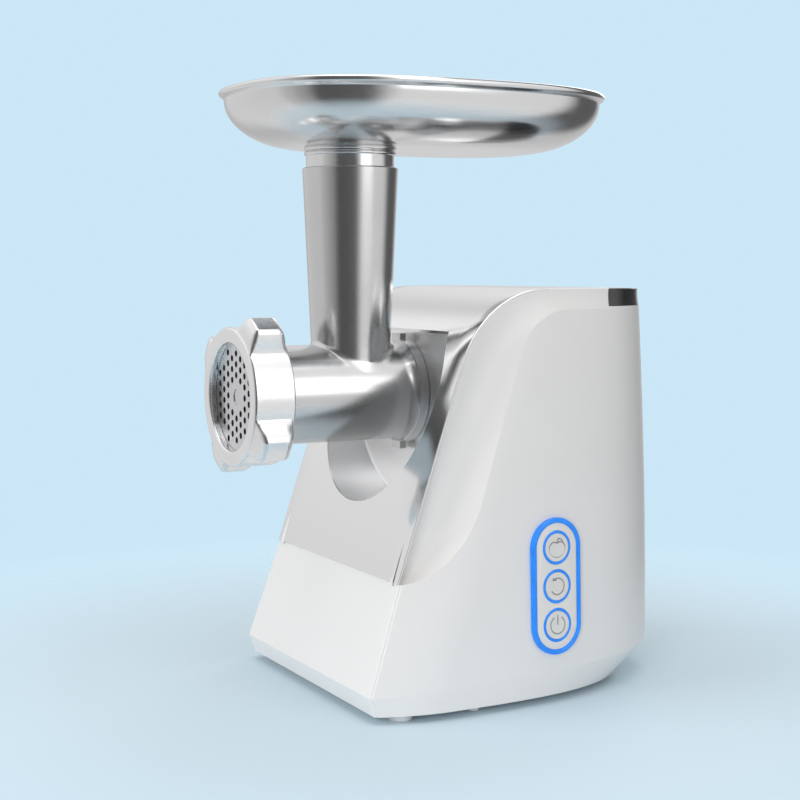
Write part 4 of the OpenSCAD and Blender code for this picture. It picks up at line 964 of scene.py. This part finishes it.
def button_white():
    """Moulded cap in satin warm white."""
    material, tree, shader = paint("button_white", (0.74, 0.72, 0.70), roughness=0.38)
    grain(tree, shader, (1500, 1500, 1500), rough=(0.33, 0.43), depth=0.003 * MM)
    return material


ink, cap_white = sign_grey(), button_white()
line_w = 0.75 * MM


def arc(radius, start, end, steps=40, side=0.0, up=0.0):
    """Points on an arc in degrees, measured from the side direction towards up."""
    angle = np.radians(np.linspace(start, end, steps))
    return side + radius * np.cos(angle), up + radius * np.sin(angle)


def fruit_lines():
    """A round fruit: a circle pinched at the top by a cosine lobe, with a leaf made of two arcs."""
    angle = np.linspace(0, 2 * math.pi, 72, endpoint=False)
    r = 4.7 * MM * (1 - 0.26 * np.exp(-((angle - math.pi / 2) / 0.42) ** 2) + 0.06 * np.cos(2 * angle))
    yield "body", r * np.cos(angle) * 1.06, r * np.sin(angle) - 0.8 * MM, True
    yield "stalk", np.linspace(0, 0.8, 8) * MM, 2.3 * MM + np.linspace(0, 2.6, 8) * MM, False
    yield "leaf", *arc(2.7 * MM, 20, 110, 16, 1.2 * MM, 1.9 * MM), False


def reverse_lines():
    """A turning arrow: three quarters of a circle and the two strokes of its head."""
    yield "turn", *arc(4.3 * MM, 130, -150), False
    tip = np.array([4.3 * math.cos(math.radians(130)), 4.3 * math.sin(math.radians(130))]) * MM
    for part, (dx, dy) in (("stroke_a", (0.2, 2.3)), ("stroke_b", (2.3, 0.2))):
        yield part, tip[0] + np.linspace(0, dx, 6) * MM, tip[1] + np.linspace(0, dy, 6) * MM, False


def power_lines():
    """The power sign: an open circle and a bar through its gap."""
    yield "ring", *arc(4.6 * MM, 120, 420), False
    yield "bar", np.zeros(8), np.linspace(0.2, 5.6, 8) * MM, False


dish, crown_r = 0.25 * MM, button_r - 0.8 * MM
crown = [(r, panel_proud - dish * (1 - (r / crown_r) ** 2)) for r in crown_r * np.linspace(1, 0, 10)]
crown[-1] = (on_axis, crown[-1][1])
cap_section = [(on_axis, -8.2 * MM)] + near((button_r, 0), (1.2, -8.2), (1.2, -7), (0, -7))
cap_section += near((button_r, panel_proud), (0, -0.5), (-0.15, -0.15), (-0.45, 0)) + crown
print_out = panel_proud - dish * 0.55
for k, body, lines in ((1, "fruit_button", fruit_lines), (0, "reverse_button", reverse_lines),
                       (-1, "power_button", power_lines)):
    piece = smooth(lathe_on_panel(body + "_cap", cap_section, k * button_pitch), 40)
    piece.data.materials.append(cap_white)
    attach(piece, body)
    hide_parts(body)
    for name, side, up, closed in lines():
        sign = ribbon_on_panel(f"{body}_sign_{name}", side, up + k * button_pitch, line_w, closed, print_out)
        sign.data.materials.append(ink)
        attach(sign, body)

# -- Pieces kept from the design -----------------------------------------------------------
# The plate, the auger and blade, the gears, the motor, the feet and the fasteners keep their
# own shape. Each gets the finish of its real stock.


def stock(name, colour, metallic, roughness, scale, **detail):
    """The finish of one kind of stock: a plain shader with one grain on it."""
    material, tree, shader = paint(name, colour, metallic, roughness)
    grain(tree, shader, scale, **detail)
    return material


# Surface ground steel, straight fine lines
steel = stock("ground_steel", (0.66, 0.66, 0.67), 1.0, 0.25, (1600, 60, 120), rough=(0.2, 0.32),
              depth=0.002 * MM)
# Natural nylon, waxy and faintly mottled
nylon = stock("natural_nylon", (0.80, 0.78, 0.70), 0.0, 0.45, (120, 120, 120), rough=(0.4, 0.52),
              tint=((0.77, 0.75, 0.67), (0.83, 0.81, 0.74)))
# Moulded grey rubber, matt and slightly speckled
rubber = stock("pale_rubber", (0.62, 0.62, 0.63), 0.0, 0.7, (1500, 1500, 1500), rough=(0.6, 0.8),
               depth=0.01 * MM)
# Bright zinc plating with a faint blotchy passivation
zinc = stock("zinc_plate", (0.6, 0.61, 0.63), 1.0, 0.3, (300, 300, 300), rough=(0.22, 0.4),
             tint=((0.56, 0.57, 0.6), (0.64, 0.65, 0.66)))
# Green solder mask over faint copper tracks
green = stock("circuit_green", (0.02, 0.16, 0.07), 0.0, 0.3, (40, 700, 700), rough=(0.25, 0.4),
              tint=((0.015, 0.12, 0.05), (0.03, 0.2, 0.09)))
# Die cast metal, matt with a blasted skin
cast = stock("die_cast", (0.45, 0.46, 0.47), 1.0, 0.5, (900, 900, 900), rough=(0.42, 0.6), depth=0.02 * MM)
# Sintered bronze, fine pored
bronze = stock("sintered_bronze", (0.45, 0.28, 0.12), 1.0, 0.45, (2500, 2500, 2500), rough=(0.35, 0.55),
               depth=0.01 * MM)
# Dark turned steel, ringed along its axis
dark = stock("turned_steel", (0.3, 0.3, 0.32), 1.0, 0.35, (50, 2000, 50), rough=(0.28, 0.42),
             depth=0.004 * MM)
# A stack of thin laminations, with fine dark lines across the motor's axis
laminated = stock("laminated_steel", (0.22, 0.23, 0.25), 1.0, 0.5, (10, 2400, 10), rough=(0.45, 0.6),
                  depth=0.05 * MM, tint=((0.17, 0.18, 0.2), (0.3, 0.3, 0.32)))
# Enamelled copper, with close ridges of wire along the winding
copper = stock("copper_wire", (0.45, 0.17, 0.06), 1.0, 0.35, (1500, 20, 1500), rough=(0.28, 0.42),
               depth=0.1 * MM, tint=((0.38, 0.14, 0.05), (0.52, 0.22, 0.09)))
# Pressed carbon, dull with a soft sheen
carbon = stock("brush_carbon", (0.03, 0.03, 0.03), 0.0, 0.55, (1200, 1200, 1200), rough=(0.5, 0.65),
               depth=0.01 * MM)
# The auger is cast in the head's metal, without turning rings
feed_metal = polished_casting("auger_casting", (400, 400, 400))
kept = {
    "cutting_plate": steel, "cross_blade": steel, "auger": feed_metal, "auger_bush": nylon,
    "base_plate": white, "feet": rubber, "base_screws": zinc, "control_board": green,
    "micro_switches": black, "cord_gland": white,
    "gearbox_front": cast, "gearbox_rear": cast, "gearbox_screws": zinc, "front_bush": bronze,
    "rear_bearing": zinc, "drive_socket": dark, "output_gear": nylon, "second_gear": nylon,
    "first_gear": nylon, "gear_pins": dark,
    "rotor_shaft": dark, "rotor_core": laminated, "commutator": copper, "motor_pinion": dark,
    "cooling_fan": black, "stator": laminated, "field_coils": copper,
    "motor_front_bracket": cast, "motor_rear_bracket": cast, "rotor_bearings": zinc,
    "carbon_brushes": carbon}
for node, material in kept.items():
    mesh = frame["nodes"][node].data
    mesh.materials.clear()
    mesh.materials.append(material)
